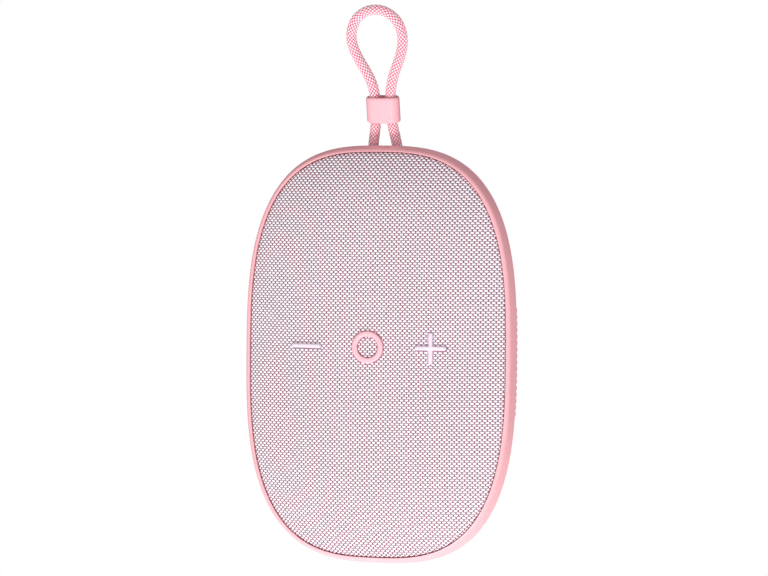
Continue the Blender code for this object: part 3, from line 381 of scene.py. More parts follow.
def mesh_of(name, points, faces):
    mesh = bpy.data.meshes.new(name)
    mesh.from_pydata(np.asarray(points).tolist(), [], faces)
    mesh.update()
    return mesh


def turn_outwards(mesh):
    bm = bmesh.new()
    bm.from_mesh(mesh)
    bmesh.ops.recalc_face_normals(bm, faces=bm.faces)
    bm.to_mesh(mesh)
    bm.free()


def loft(name, rings, material, where=BODY, closed=False, angle=35):
    """Solid skin over rings of equally many points, its ends capped unless closed joins them."""
    rings = np.asarray(rings, float)
    count, around = rings.shape[:2]
    faces = []
    for ring in range(count if closed else count - 1):
        low, high = ring * around, (ring + 1) % count * around
        for index in range(around):
            follow = (index + 1) % around
            faces.append((low + index, low + follow, high + follow, high + index))
    if not closed:
        faces.append(tuple(range(around)))
        faces.append(tuple(range((count - 1) * around, count * around)))
    mesh = mesh_of(name, rings.reshape(-1, 3), faces)
    turn_outwards(mesh)
    made = new_object(name, mesh, material, where)
    smooth(made, angle)
    return made


def outline(half_width, half_height, power=CORNER_POWER, count=ROUND):
    """Superellipse as (x, z) points."""
    angle = 2 * math.pi * np.arange(count) / count
    across, along = np.cos(angle), np.sin(angle)
    reach = (np.abs(across) ** power + np.abs(along) ** power) ** (-1 / power)
    return np.stack([half_width * across * reach, half_height * along * reach], 1)


def level_ring(points, y):
    """Outline points set at depth y."""
    return np.stack([points[:, 0], np.full(len(points), y), points[:, 1]], 1)


def catmull(points, steps):
    """Smooth curve through the points, with this many steps between each pair."""
    knots = np.asarray(points, float)
    knots = np.vstack([2 * knots[0] - knots[1], knots, 2 * knots[-1] - knots[-2]])
    path = []
    for before, start, end, after in zip(knots, knots[1:], knots[2:], knots[3:]):
        for step in range(steps):
            t = step / steps
            path.append(0.5 * (
                2 * start + (end - before) * t
                + (2 * before - 5 * start + 4 * end - after) * t ** 2
                + (3 * start - 3 * end + after - before) * t ** 3
            ))
    path.append(knots[-2])
    return np.array(path)


def stadium(width, depth, count=96):
    """Two half circles joined by straights, as (x, y) points."""
    radius = depth / 2
    angle = 2 * math.pi * (np.arange(count) + 0.5) / count
    shift = np.where(np.cos(angle) > 0, 1, -1) * (width / 2 - radius)
    return np.stack([shift + radius * np.cos(angle), radius * np.sin(angle)], 1)


def circle_points(radius, count):
    """Circle as (x, y) points."""
    angle = 2 * math.pi * np.arange(count) / count
    return radius * np.stack([np.cos(angle), np.sin(angle)], 1)


def turned(name, profile, material, where, count=96):
    """Closed ring: (radius, height) profile turned about Z."""
    rings = []
    for radius, height in profile:
        rings.append(np.column_stack([circle_points(radius, count), np.full(count, height)]))
    return loft(name, rings, material, where, closed=True)


def boolean(target, tool, operation="DIFFERENCE"):
    step = target.modifiers.new("boolean", "BOOLEAN")
    step.operation = operation
    step.solver = "EXACT"
    step.object = tool
    bake_modifiers(target)
    bpy.data.objects.remove(tool)


def bake_modifiers(target):
    """Applies the object's modifiers to its mesh."""
    graph = bpy.context.evaluated_depsgraph_get()
    mesh = bpy.data.meshes.new_from_object(target.evaluated_get(graph))
    target.modifiers.clear()
    target.data = mesh


def one_material(made, material, angle):
    """After booleans: a single material slot, and smooth up to this angle."""
    made.data.materials.clear()
    made.data.materials.append(material)
    smooth(made, angle)


def block(name, size, centre, material=None, where=BODY, bevel=0.0):
    bm = bmesh.new()
    bmesh.ops.create_cube(bm, size=1.0)
    bmesh.ops.scale(bm, vec=size, verts=bm.verts)
    bmesh.ops.translate(bm, vec=centre, verts=bm.verts)
    if bevel:
        bmesh.ops.bevel(bm, geom=bm.edges, offset=bevel, segments=4, affect="EDGES", profile=0.5)
    mesh = bpy.data.meshes.new(name)
    bm.to_mesh(mesh)
    bm.free()
    return new_object(name, mesh, material, where)


def post(name, radius, y_front, y_back, x=0.0, z=0.0, where=BODY, count=48):
    """Plain cylinder along Y, as a tool."""
    ring = circle_points(radius, count) + np.array([x, z])
    return loft(name, [level_ring(ring, y_front), level_ring(ring, y_back)], None, where)


def finish_piece(made, body, slot, *replaced):
    if replaced:
        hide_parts(*replaced)
    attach(made, body)
    return made


# ------------------------ rim and rear shell

# The rim's sections as (inset across, inset along, depth): its side, the rounded crease, its
# crowned face, the lip beside the cloth, and the ledge behind.
RIM_SIDE = [(0.0, 0.0, WIDEST_Y), (0.00016, 0.00018, 0.0037), (0.00035, 0.00040, 0.0028),
            (0.00052, 0.00058, 0.0021), (0.00070, 0.00078, 0.0014), (0.00087, 0.00097, 0.0007)]
RIM_CREASE = [(0.00096, 0.00106, 0.00036), (0.00101, 0.00111, 0.00021), (0.00110, 0.00120, 0.00006)]
RIM_FACE = [(0.00122, 0.00130, -0.00017), (0.00140, 0.00144, -0.00038),
            (0.00164, 0.00162, -0.00057), (0.00190, 0.00180, -0.00070), (0.00212, 0.00194, -0.00077)]
RIM_LIP = [(0.00226, 0.00202, -0.00080), (0.00236, 0.00208, -0.00078), (0.00243, 0.00213, -0.00070),
           (0.00245, 0.00215, -0.00058)]
RIM_BACK = [(0.00245, 0.00215, 0.0015), (0.0046, 0.0043, 0.0015), (0.0046, 0.0043, 0.0030),
            (0.0022, 0.0022, 0.0030), (0.0022, 0.0022, WIDEST_Y)]
rim_rings = []
for inset_x, inset_z, y in [*RIM_SIDE, *RIM_CREASE, *RIM_FACE, *RIM_LIP, *RIM_BACK]:
    rim_rings.append(level_ring(outline(HALF_WIDTH - inset_x, HALF_HEIGHT - inset_z), y))
rim = loft("rim_ring", rim_rings, rim_pink, closed=True, angle=50)
finish_piece(rim, "housing", "rim_gloss", "front_bezel")

SHELL_STEPS = 36
shell_rings = []
for index in range(SHELL_STEPS + 1):
    depth = REAR_DEPTH * math.sin(math.pi / 2 * index / SHELL_STEPS) ** (2 / REAR_BOWL_POWER)
    inset = housing_inset(RIM_Y + depth)
    shell_rings.append(level_ring(outline(HALF_WIDTH - inset, HALF_HEIGHT - inset), RIM_Y + depth))
for ring in reversed(shell_rings[:-1]):
    shrink = np.array([1 - WALL / HALF_WIDTH, 1.0, 1 - WALL / HALF_HEIGHT])
    inner = ring * shrink
    inner[:, 1] = RIM_Y + (ring[:, 1] - RIM_Y) * (1 - WALL / REAR_DEPTH)
    shell_rings.append(inner)

# The rings run outside from the rim to the back, and inside back to the rim, where the hollow's
# last ring is drawn forwards so that it cuts right through the rim's plane.
HOLLOW_OVERRUN = 0.001
hollow_rings = shell_rings[SHELL_STEPS + 1:]
hollow_rings[-1] = hollow_rings[-1] - np.array([0.0, HOLLOW_OVERRUN, 0.0])
shell = loft("housing_shell", shell_rings[:SHELL_STEPS + 1], soft_touch)
boolean(shell, loft("hollow", hollow_rings, None))


def side_patch(name, margin, offset, thickness, rows=3, columns=24, relief=None, material=None):
    """Panel that follows the right side of the housing, offset outwards from its surface."""
    y = np.linspace(FLAP_Y[0] - margin, FLAP_Y[1] + margin, rows + 1)
    z = np.linspace(FLAP_Z[0] - margin, FLAP_Z[1] + margin, columns + 1)
    y, z = np.meshgrid(y, z, indexing="ij")
    inset = housing_inset(y)
    reach = (1 - (np.abs(z) / (HALF_HEIGHT - inset)) ** CORNER_POWER) ** (1 / CORNER_POWER)
    x = (HALF_WIDTH - inset) * reach + offset
    lift = relief(y, z) if relief else 0.0
    top = np.stack([x + lift, y, z], 2).reshape(-1, 3)
    floor = np.stack([x - thickness, y, z], 2).reshape(-1, 3)
    across = columns + 1
    half = len(top)
    faces = []
    for row in range(rows):
        for column in range(columns):
            a = row * across + column
            quad = (a, a + 1, a + across + 1, a + across)
            faces.append(quad)
            faces.append(tuple(half + corner for corner in reversed(quad)))
    edge = [*range(across), *[row * across + columns for row in range(1, rows + 1)],
            *[rows * across + column for column in reversed(range(columns))],
            *[row * across for row in reversed(range(1, rows))]]
    for first, second in zip(edge, [*edge[1:], edge[0]]):
        faces.append((second, first, half + first, half + second))
    mesh = mesh_of(name, np.vstack([top, floor]), faces)
    turn_outwards(mesh)
    return new_object(name, mesh, material)


# The flap's pocket: a backing inside the wall, the port's block, then the openings cut in them.
BACKING_MARGIN = 0.0006
BACKING_OFFSET = -0.0010
BACKING_DEEP = 0.0024
POCKET_MARGIN = 0.00035
POCKET_ABOVE = 0.0020          # the pocket's cutter starts this far outside the wall
boolean(shell, side_patch("flap_backing", BACKING_MARGIN, BACKING_OFFSET, BACKING_DEEP), "UNION")
port_block = (PORT_BLOCK_DEPTH, PORT_SIZE[0] + 0.0026, PORT_SIZE[1] + 0.0036)
block_x = PORT_FLOOR_X - PORT_BLOCK_FLOOR + PORT_BLOCK_DEPTH / 2
boolean(shell, block("port_block", port_block, (block_x, PORT_Y, PORT_Z)), "UNION")
boolean(shell, side_patch("flap_pocket", POCKET_MARGIN, POCKET_ABOVE, POCKET_ABOVE + FLAP_POCKET))
recess_x = PORT_FLOOR_X + PORT_RECESS_DEPTH / 2
boolean(shell, block("port_recess", (PORT_RECESS_DEPTH, *PORT_SIZE), (recess_x, PORT_Y, PORT_Z),
                     bevel=0.0008))
mouth_x = PORT_FLOOR_X - PORT_MOUTH_SINK
boolean(shell, block("port_mouth", (PORT_MOUTH_DEPTH, *PORT_MOUTH), (mouth_x, PORT_Y, PORT_Z),
                     bevel=0.0006))

PAD_HALF = (0.0270, 0.0500)
PAD_POINTS = 160
PAD_SINK = 0.0006
PAD_THICKNESS = 0.0012
pad_seat = outline(PAD_HALF[0] + PART_GAP, PAD_HALF[1] + PART_GAP, count=PAD_POINTS)
boolean(shell, loft("pad_hollow", [level_ring(pad_seat, BACK_Y - PAD_SINK),
                                   level_ring(pad_seat, BACK_Y + 0.0020)], None))

SEAT_RADIUS = 0.0029
SEAT_RIM_RADIUS = 0.0034
SEAT_POINTS = 48
SEAT_PROFILE = [(SEAT_RADIUS, -0.006), (SEAT_RADIUS, -0.0006), (SEAT_RIM_RADIUS, -0.00055),
                (SEAT_RIM_RADIUS, 0.004)]


def at_leg(side):
    """Frame of the strap at the exit of its left (-1) or right (1) leg."""
    return STRAP @ Matrix.Translation((side * CORD_SPACING / 2, 0, 0))


for side in (-1, 1):
    circle = stadium(2 * SEAT_RADIUS, 2 * SEAT_RADIUS, SEAT_POINTS)
    rings = []
    for radius, height in SEAT_PROFILE:
        rings.append(np.column_stack([circle * radius / SEAT_RADIUS, np.full(SEAT_POINTS, height)]))
    boolean(shell, loft("grommet_seat", rings, None, at_leg(side)))
one_material(shell, soft_touch, 30)
finish_piece(shell, "housing", "soft_touch", "rear_shell")

PAD_GROOVES = 6
GROOVE_START = 0.0014
GROOVE_SPACING = 0.0026
GROOVE_PROFILE = [(0.0, PAD_THICKNESS), (0.0003, 0.0010), (0.0008, 0.0009), (0.0013, 0.0010),
                  (0.0016, PAD_THICKNESS), (0.0022, PAD_THICKNESS)]
pad_profile = [(0.0, 0.0), (0.0, 0.0006), (0.0001, 0.0009), (0.0004, PAD_THICKNESS),
               (0.0010, PAD_THICKNESS)]
for groove in range(PAD_GROOVES):
    start = GROOVE_START + groove * GROOVE_SPACING
    pad_profile.extend((start + across, height) for across, height in GROOVE_PROFILE)
pad_rings = []
pad_front = BACK_Y - PAD_SINK + PART_GAP
for inset, height in pad_profile:
    pad_line = outline(PAD_HALF[0] - inset, PAD_HALF[1] - inset, count=PAD_POINTS)
    pad_rings.append(level_ring(pad_line, pad_front + height))
finish_piece(loft("grip_pad", pad_rings, pink_rubber), "housing", "pink_rubber", "rear_pad")

# ------------------------ port flap

FLAP_GROOVES = 17              # spaces between the cross grooves
FLAP_GROOVE_DEPTH = 0.00040
FLAP_GROOVE_WIDTH = 0.16       # share of the grooves' spacing
FLAP_EDGE_DROP = 0.0006
FLAP_EDGE_WIDTH = 0.0007


def flap_relief(y, z):
    """Rounded edges, and grooves across the flap's length."""
    from_side = np.minimum(y - FLAP_Y[0], FLAP_Y[1] - y)
    from_end = np.minimum(z - FLAP_Z[0], FLAP_Z[1] - z)
    from_edge = np.minimum(from_side, from_end)
    edge = -FLAP_EDGE_DROP * (1 - np.clip(from_edge / FLAP_EDGE_WIDTH, 0, 1)) ** 2
    phase = (z - FLAP_Z[0]) / (FLAP_Z[1] - FLAP_Z[0]) * FLAP_GROOVES
    nearest = np.round(phase)
    groove = -FLAP_GROOVE_DEPTH * np.exp(-((phase - nearest) / FLAP_GROOVE_WIDTH) ** 2)
    return edge + np.where((nearest > 0) & (nearest < FLAP_GROOVES), groove, 0.0)


flap = side_patch("side_flap", 0.0, FLAP_PROUD, FLAP_THICKNESS, 28, 240, flap_relief, pink_rubber)
boolean(flap, block("flap_plug", FLAP_PLUG, (FLAP_PLUG_X, PORT_Y, PORT_Z), bevel=0.0004), "UNION")
one_material(flap, pink_rubber, 50)
finish_piece(flap, "flap", "pink_rubber", "port_flap")

# ------------------------ the dome and the marks on it


def dome_y(x, z):
    """Depth of the cloth's outer surface over (x, z)."""
    across = np.abs(x) / DOME_HALF_WIDTH
    along = np.abs(z) / DOME_HALF_HEIGHT
    reach = (across ** CORNER_POWER + along ** CORNER_POWER) ** (1 / CORNER_POWER)
    share = along ** 2 / np.maximum(across ** 2 + along ** 2, 1e-12)
    power = DOME_POWER_SIDE + (DOME_POWER_END - DOME_POWER_SIDE) * share
    return DOME_EDGE_Y - DOME_RISE * (1 - np.minimum(reach, 1.0) ** power)


def cloth_reach(u, v):
    """Share of the way from the middle of the cloth to the rim."""
    across = (np.abs(u) / DOME_HALF_WIDTH) ** CORNER_POWER
    along = (np.abs(v) / DOME_HALF_HEIGHT) ** CORNER_POWER
    return (across + along) ** (1 / CORNER_POWER)


ROLL = 1 - ROLL_START


def cloth_place(u, v):
    """Point of the cloth's surface for its flat coordinates: over the dome, then rolled under."""
    reach = np.maximum(cloth_reach(u, v), 1e-9)
    turn = np.clip((reach - ROLL_START) / ROLL, 0, math.pi / 2)
    shown = np.where(reach > ROLL_START, ROLL_START + ROLL * np.sin(turn), reach)
    x, z = u * shown / reach, v * shown / reach
    return np.stack([x, dome_y(x, z) + ROLL_DROP * (1 - np.cos(turn)), z], -1)


def cloth_frame(u, v):
    """Surface point and unit normal (outwards, towards -Y) for flat coordinates."""
    step = 0.00005
    across = cloth_place(u + step, v) - cloth_place(u - step, v)
    along = cloth_place(u, v + step) - cloth_place(u, v - step)
    normal = np.cross(across, along)
    normal /= np.linalg.norm(normal, axis=-1, keepdims=True)
    normal[normal[..., 1] > 0] *= -1
    return cloth_place(u, v), normal


CLOTH_END = ROLL_START + ROLL * 1.35     # the cloth ends a little before the roll faces backwards


def bar_distance(u, v, half_length):
    """Distance outside a round-ended bar along u."""
    radius = ICON_BAR / 2
    return np.hypot(np.maximum(np.abs(u) - half_length + radius, 0), v) - radius


def mark_distance(u, v):
    """Distance from the nearest mark; negative inside one."""
    u, v = u - BUTTON_X, v - BUTTON_Z
    half = ICON_LENGTH / 2
    minus = bar_distance(u + BUTTON_SPACING, v, half)
    from_plus = u - BUTTON_SPACING
    plus = np.minimum(bar_distance(from_plus, v, half), bar_distance(v, from_plus, half))
    ring = np.hypot(u, v) - half
    return np.minimum(np.minimum(minus, plus), ring)


def insert_distance(u, v):
    """Distance outside the ring's inner edge; negative on the insert."""
    return np.hypot(u - BUTTON_X, v - BUTTON_Z) - RING_INNER / 2


# One wave of a yarn as positions between crossings, closer together over its crest.
WAVE_STEPS = np.array([-0.38, 0.0, 0.38, 0.68, 1.0, 1.32])


def yarn_line(index, reach_out):
    """Positions along one yarn in pitches, and its height from -1 to 1 there."""
    first = -2 * math.ceil(reach_out / 2) + index % 2
    waves = np.arange(first, reach_out + 2, 2)
    at = (waves[:, None] + WAVE_STEPS[None, :]).ravel()
    height = np.cos(math.pi * (at - index % 2))
    return at, np.sign(height) * np.abs(height) ** 0.75


def runs(keep):
    """Start and end of each stretch of kept samples."""
    padded = np.concatenate([[False], keep, [False]])
    change = np.flatnonzero(padded[1:] != padded[:-1])
    return [(a, b) for a, b in zip(change[::2], change[1::2]) if b - a >= 4]


def tube_rings(centres, normals, tangents, widths, depths, sides):
    """Rings of an oval tube, its width along normal x tangent."""
    sideways = np.cross(tangents, normals)
    angle = 2 * math.pi * (np.arange(sides) + 0.5) / sides
    across = np.cos(angle)[None, :, None] * widths[:, None, None]
    outwards = np.sin(angle)[None, :, None] * depths[:, None, None]
    return centres[:, None] + sideways[:, None] * across + normals[:, None] * outwards


class TubeMesh:
    """Gathers closed tubes into one mesh of quads, with values kept for each point."""

    def __init__(self, sides):
        self.sides = sides
        self.points, self.quads, self.crest, self.crossing, self.size = [], [], [], [], 0

    def add(self, rings, crest, crossing):
        count, sides = len(rings), self.sides
        grid = np.arange(count * sides).reshape(count, sides) + self.size
        low, high = grid[:-1], grid[1:]
        quads = np.stack([low, np.roll(low, -1, 1), np.roll(high, -1, 1), high], -1).reshape(-1, 4)
        ends = []
        for ring, flip in ((grid[0], True), (grid[-1], False)):
            for start in range(0, sides - 2, 2):
                corners = [ring[0], ring[start + 1], ring[start + 2], ring[(start + 3) % sides]]
                ends.append(corners[::-1] if flip else corners)
        self.points.append(rings.reshape(-1, 3))
        self.quads.append(np.vstack([quads, ends]))
        self.crest.append(np.repeat(crest, sides))
        self.crossing.append(np.repeat(crossing, sides))
        self.size += count * sides

    def build(self, name, material, where=BODY):
        points, quads = np.vstack(self.points), np.vstack(self.quads)
        mesh = bpy.data.meshes.new(name)
        mesh.vertices.add(len(points))
        mesh.vertices.foreach_set("co", points.astype(np.float32).ravel())
        mesh.loops.add(quads.size)
        mesh.loops.foreach_set("vertex_index", quads.astype(np.int32).ravel())
        mesh.polygons.add(len(quads))
        mesh.polygons.foreach_set("loop_start", np.arange(0, quads.size, 4, dtype=np.int32))
        mesh.update(calc_edges=True)
        for key, values in (("crest", self.crest), ("crossing", self.crossing)):
            layer = mesh.attributes.new(key, "FLOAT", "POINT")
            layer.data.foreach_set("value", np.concatenate(values).astype(np.float32))
        mesh.shade_smooth()
        return new_object(name, mesh, material, where)


YARN_SIDES = 6
EDGE_DIVE = 0.00045            # how far a yarn turns down where the cloth is cut round a mark
DIVE_LENGTH = 0.0003           # over which it does so
CLOTH_SPREAD = 1.05            # yarns are laid out this much wider than the dome, then cut


def weave(weft, indices, keep_from):
    """One set of yarns over the cloth. keep_from gives the distance inside the cut's edge."""
    size = WEFT_SIZE if weft else WARP_SIZE
    gathered = TubeMesh(YARN_SIDES)
    reach_out = math.ceil((DOME_HALF_WIDTH if weft else DOME_HALF_HEIGHT) * CLOTH_SPREAD / PITCH)
    for index in indices:
        at, height = yarn_line(index if weft else index + 1, reach_out)
        along, across = at * PITCH, np.full(len(at), index * PITCH)
        u, v = (along, across) if weft else (across, along)
        inside = keep_from(u, v)
        for start, end in runs(inside > 0):
            part = slice(start, end)
            spot, normal = cloth_frame(u[part], v[part])
            dive = EDGE_DIVE * np.clip(1 - inside[part] / DIVE_LENGTH, 0, 1) ** 1.5
            layer = WEFT_LIFT if weft else WARP_LIFT
            lift = YARN_WAVE * height[part] + layer - CLOTH_INSET - dive
            centres = spot + normal * lift[:, None]
            tangents = np.gradient(centres, axis=0)
            tangents /= np.linalg.norm(tangents, axis=1, keepdims=True)
            swell = 0.5 + 0.5 * height[part]
            widths = size[0] * (0.80 + 0.25 * swell)
            depths = np.full(end - start, size[1])
            rings = tube_rings(centres, normal, tangents, widths, depths, YARN_SIDES)
            crossing = np.round(at[part]) * 7.13 + index * 3.37
            gathered.add(rings, swell, crossing)
    return gathered


def cover_inside(u, v):
    """Distance inside the cover's edge, where it ends at the rim and round the marks."""
    from_rim = (CLOTH_END - cloth_reach(u, v)) * DOME_HALF_WIDTH
    return np.minimum(mark_distance(u, v) - ICON_GAP, from_rim)


def insert_inside(u, v):
    """Distance inside the edge of the insert in the ring."""
    return -insert_distance(u, v) - ICON_GAP


for weft, half_length, groups, material in (
    (True, DOME_HALF_HEIGHT, 4, weft_white),
    (False, DOME_HALF_WIDTH, 3, warp_mauve),
):
    count = math.ceil(half_length * CLOTH_SPREAD / PITCH)
    label = "weft" if weft else "warp"
    for number, indices in enumerate(np.array_split(np.arange(-count, count + 1), groups), 1):
        piece = weave(weft, indices, cover_inside).build(f"{label}_yarns_{number}", material)
        finish_piece(piece, "housing", "woven_fabric")
    reach_out = math.ceil(RING_INNER / PITCH)
    piece = weave(weft, range(-reach_out, reach_out + 1), insert_inside)
    piece = piece.build(f"insert_{label}_yarns", material)
    finish_piece(piece, "play_key", "woven_fabric")

# The cloth's backing, closed and thin, with the marks' openings cut out.
BACKING_DEPTH = 0.00048        # of its outer face under the dome's surface
BACKING_THICKNESS = 0.0002
BACKING_SHARES = [*np.linspace(0.06, 0.94, 20), *np.linspace(0.95, CLOTH_END, 9)]


def backing_rings(depth):
    """Rings from the middle of the cloth to its edge, at a depth under its surface."""
    rings = []
    for share in BACKING_SHARES:
        rim_line = outline(DOME_HALF_WIDTH * share, DOME_HALF_HEIGHT * share)
        spot, normal = cloth_frame(rim_line[:, 0], rim_line[:, 1])
        rings.append(spot - normal * depth)
    return rings


outer_face = backing_rings(BACKING_DEPTH)
inner_face = backing_rings(BACKING_DEPTH + BACKING_THICKNESS)
backing = loft("cover_backing", [*outer_face, *reversed(inner_face)], backing_mauve)

OPENING_Y = (-0.0130, -0.0040)   # from ahead of the dome to behind its backing


def bar_tool(name, x, upright=False):
    """Cutter for a bar's opening in the backing."""
    shape = stadium(ICON_LENGTH + 2 * ICON_GAP, ICON_BAR + 2 * ICON_GAP)
    if upright:
        shape = shape[:, ::-1]
    shape = shape + np.array([x, BUTTON_Z])
    return loft(name, [level_ring(shape, y) for y in OPENING_Y], None)


boolean(backing, bar_tool("minus_opening", BUTTON_X - BUTTON_SPACING))
boolean(backing, bar_tool("plus_opening", BUTTON_X + BUTTON_SPACING))
boolean(backing, bar_tool("plus_stem_opening", BUTTON_X + BUTTON_SPACING, upright=True))
ring_opening = ICON_LENGTH / 2 + ICON_GAP
boolean(backing, post("ring_opening", ring_opening, *OPENING_Y, BUTTON_X, BUTTON_Z, count=96))
smooth(backing, 60)
finish_piece(backing, "housing", "woven_fabric", "fabric_cover")

INSERT_GAP = 0.0002
INSERT_PROFILE = [(0.0006, BACKING_DEPTH), (0.0, BACKING_DEPTH + 0.00008), (0.0, 0.00066),
                  (0.0001, 0.0007)]
insert_y = float(dome_y(BUTTON_X, BUTTON_Z))
insert_rings = []
for inset, y in INSERT_PROFILE:
    radius = RING_INNER / 2 - INSERT_GAP - inset
    circle = outline(radius, radius, 2.0, 64)
    insert_rings.append(level_ring(circle + np.array([BUTTON_X, BUTTON_Z]), insert_y + y))
insert = finish_piece(loft("play_insert", insert_rings, backing_mauve), "play_key", "woven_fabric",
                      "play_fabric_insert")

# ------------------------ the marks

CLOTH_THICKNESS = 0.0007
GRILLE_THICKNESS = 0.0014
FLANGE_BEHIND_GRILLE = 0.0009
# The flange's front under the cloth's surface.
FLANGE_DEPTH = FLANGE_BEHIND_GRILLE + CLOTH_THICKNESS + PART_GAP + GRILLE_THICKNESS
JOIN_DEPTH = FLANGE_DEPTH + KEY_OVERLAP
FOOT_END_Y = -0.0041
EDGE_HEIGHT = 0.0005           # of the marks' rounded edges
BAR_EDGE_REACH = 0.00045
RING_EDGE_REACH = 0.0006


def round_over(reach, depth, steps=6):
    """(inset, height) of a quarter round edge, from its foot to its top."""
    angle = np.linspace(0, math.pi / 2, steps)
    return [(reach * (1 - math.cos(a)), depth * math.sin(a)) for a in angle]


def mark_frame(x):
    """Frame of a mark: at the dome's surface, turned with its slope."""
    step = 0.0005
    slope = float(dome_y(x + step, BUTTON_Z) - dome_y(x - step, BUTTON_Z)) / (2 * step)
    turn = Matrix.Rotation(math.atan(slope), 4, "Z")
    return BODY @ Matrix.Translation((x, float(dome_y(x, BUTTON_Z)), BUTTON_Z)) @ turn


def mark_bar(name, where, material, upright=False):
    """Round-ended bar that stands out of the cloth, its edges rounded over."""
    rings = []
    for inset, height in [(0.0, -JOIN_DEPTH), *round_over(BAR_EDGE_REACH, EDGE_HEIGHT)]:
        shape = stadium(ICON_LENGTH - 2 * inset, ICON_BAR - 2 * inset, 64)
        if upright:
            shape = shape[:, ::-1]
        lift = height if height < 0 else ICON_RAISE - EDGE_HEIGHT + height
        rings.append(level_ring(shape, -lift))
    return loft(name, rings, material, where)


def mark_ring(name, where, material, count=128):
    """Ring that stands out of the cloth, rounded over on both sides."""
    edge = round_over(RING_EDGE_REACH, EDGE_HEIGHT)
    section = [(ICON_LENGTH / 2, JOIN_DEPTH)]
    for inset, height in edge:
        section.append((ICON_LENGTH / 2 - inset, -(ICON_RAISE - EDGE_HEIGHT + height)))
    for inset, height in reversed(edge):
        section.append((RING_INNER / 2 + inset, -(ICON_RAISE - EDGE_HEIGHT + height)))
    section.append((RING_INNER / 2, JOIN_DEPTH))
    rings = [level_ring(circle_points(radius, count), y) for radius, y in section]
    return loft(name, rings, material, where, closed=True)


PILLAR_START = 0.0010          # behind the cloth's surface
for label, place, tint, slot in (
    ("minus", -1, lilac, "lilac_icon"),
    ("plus", 1, lilac, "lilac_icon"),
    ("play", 0, ring_pink, "pink_rubber"),
):
    x = BUTTON_X + place * BUTTON_SPACING
    where = mark_frame(x)
    if label == "play":
        mark = mark_ring("play_mark", where, tint)
        boolean(mark, post("pillar", KEY_PILLAR_RADIUS, PILLAR_START, JOIN_DEPTH, where=where), "UNION")
    else:
        mark = mark_bar(label + "_mark", where, tint)
    if label == "plus":
        boolean(mark, mark_bar("stem", where, tint, upright=True), "UNION")
    flange_back = FLANGE_DEPTH + KEY_FLANGE_THICKNESS
    boolean(mark, post("flange", KEY_FLANGE_RADIUS, FLANGE_DEPTH, flange_back, where=where), "UNION")
    # The foot runs straight back, not along the tilted mark, so that it stops short of its switch.
    foot_start = float(dome_y(x, BUTTON_Z)) + JOIN_DEPTH
    boolean(mark, post("foot", KEY_FOOT_RADIUS, foot_start, FOOT_END_Y, x, BUTTON_Z), "UNION")
    one_material(mark, tint, 50)
    finish_piece(mark, label + "_key", slot, label + "_button")

# ------------------------ the driver's spider

# Corrugated, and dished backwards at its middle so that the cone clears it at full travel.
SPIDER_HOLE = 0.0087
SPIDER_DISH = 0.0012
SPIDER_WAVE = 0.0005
SPIDER_WAVES = 4
SPIDER_POINTS = 49
SPIDER_THICKNESS = 0.0002
spider_low, spider_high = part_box("driver_spider")
spider_middle = (spider_low + spider_high) / 2
spider_rim = (spider_high.x - spider_low.x) / 2
spider_front = []
for share in np.linspace(0, 1, SPIDER_POINTS):
    wave = 0.5 - 0.5 * math.cos(2 * math.pi * SPIDER_WAVES * share)
    spider_front.append((SPIDER_HOLE + (spider_rim - SPIDER_HOLE) * share,
                         SPIDER_DISH * (1 - share) ** 2 + SPIDER_WAVE * wave))
spider_back = [(radius, height + SPIDER_THICKNESS) for radius, height in reversed(spider_front)]
spider_place = (Matrix.Translation((spider_middle.x, spider_low.y, spider_middle.z))
                @ Matrix.Rotation(-math.pi / 2, 4, "X"))
spider = turned("corrugated_spider", [*spider_front, *spider_back], paper, spider_place)
finish_piece(spider, "housing", "paper_cone", "driver_spider")

# ------------------------ cord, bead and grommets

# One side of the loop as (half spacing, height above the exit along the strap).
LOOP_HALF = [
    (0.00420, -0.0098), (0.00420, 0.0000), (0.00375, 0.0040), (0.00300, 0.0084), (0.00270, 0.0144),
    (0.00290, 0.0196), (0.00365, 0.0232), (0.00520, 0.0272), (0.00705, 0.0310), (0.00845, 0.0348),
    (0.00900, 0.0384), (0.00845, 0.0418), (0.00670, 0.0451), (0.00350, 0.0475),
]
LOOP_LEAN = 0.062              # sideways lean of the open loop to the left, over its height
LOOP_LEAN_START = 0.0225
LOOP_LEAN_MOST = 0.0009


def loop_x(side, half, height):
    """Leg position: the loop leans aside from just above the bead to its widest line."""
    return side * half - min(LOOP_LEAN * max(height - LOOP_LEAN_START, 0.0), LOOP_LEAN_MOST)


route = [(loop_x(-1, half, height), 0, height) for half, height in LOOP_HALF]
route.append((loop_x(0, 0, LOOP_TOP), 0, LOOP_TOP))
route.extend((loop_x(1, half, height), 0, height) for half, height in reversed(LOOP_HALF))
ROUTE_STEPS = 24               # between neighbouring points of the route
line = catmull(route, ROUTE_STEPS)


def evenly(points, count):
    """The same line as equally spaced points."""
    lengths = np.concatenate([[0], np.cumsum(np.linalg.norm(np.diff(points, axis=0), axis=1))])
    at = np.linspace(0, lengths[-1], count)
    return np.stack([np.interp(at, lengths, points[:, axis]) for axis in range(3)], 1), at


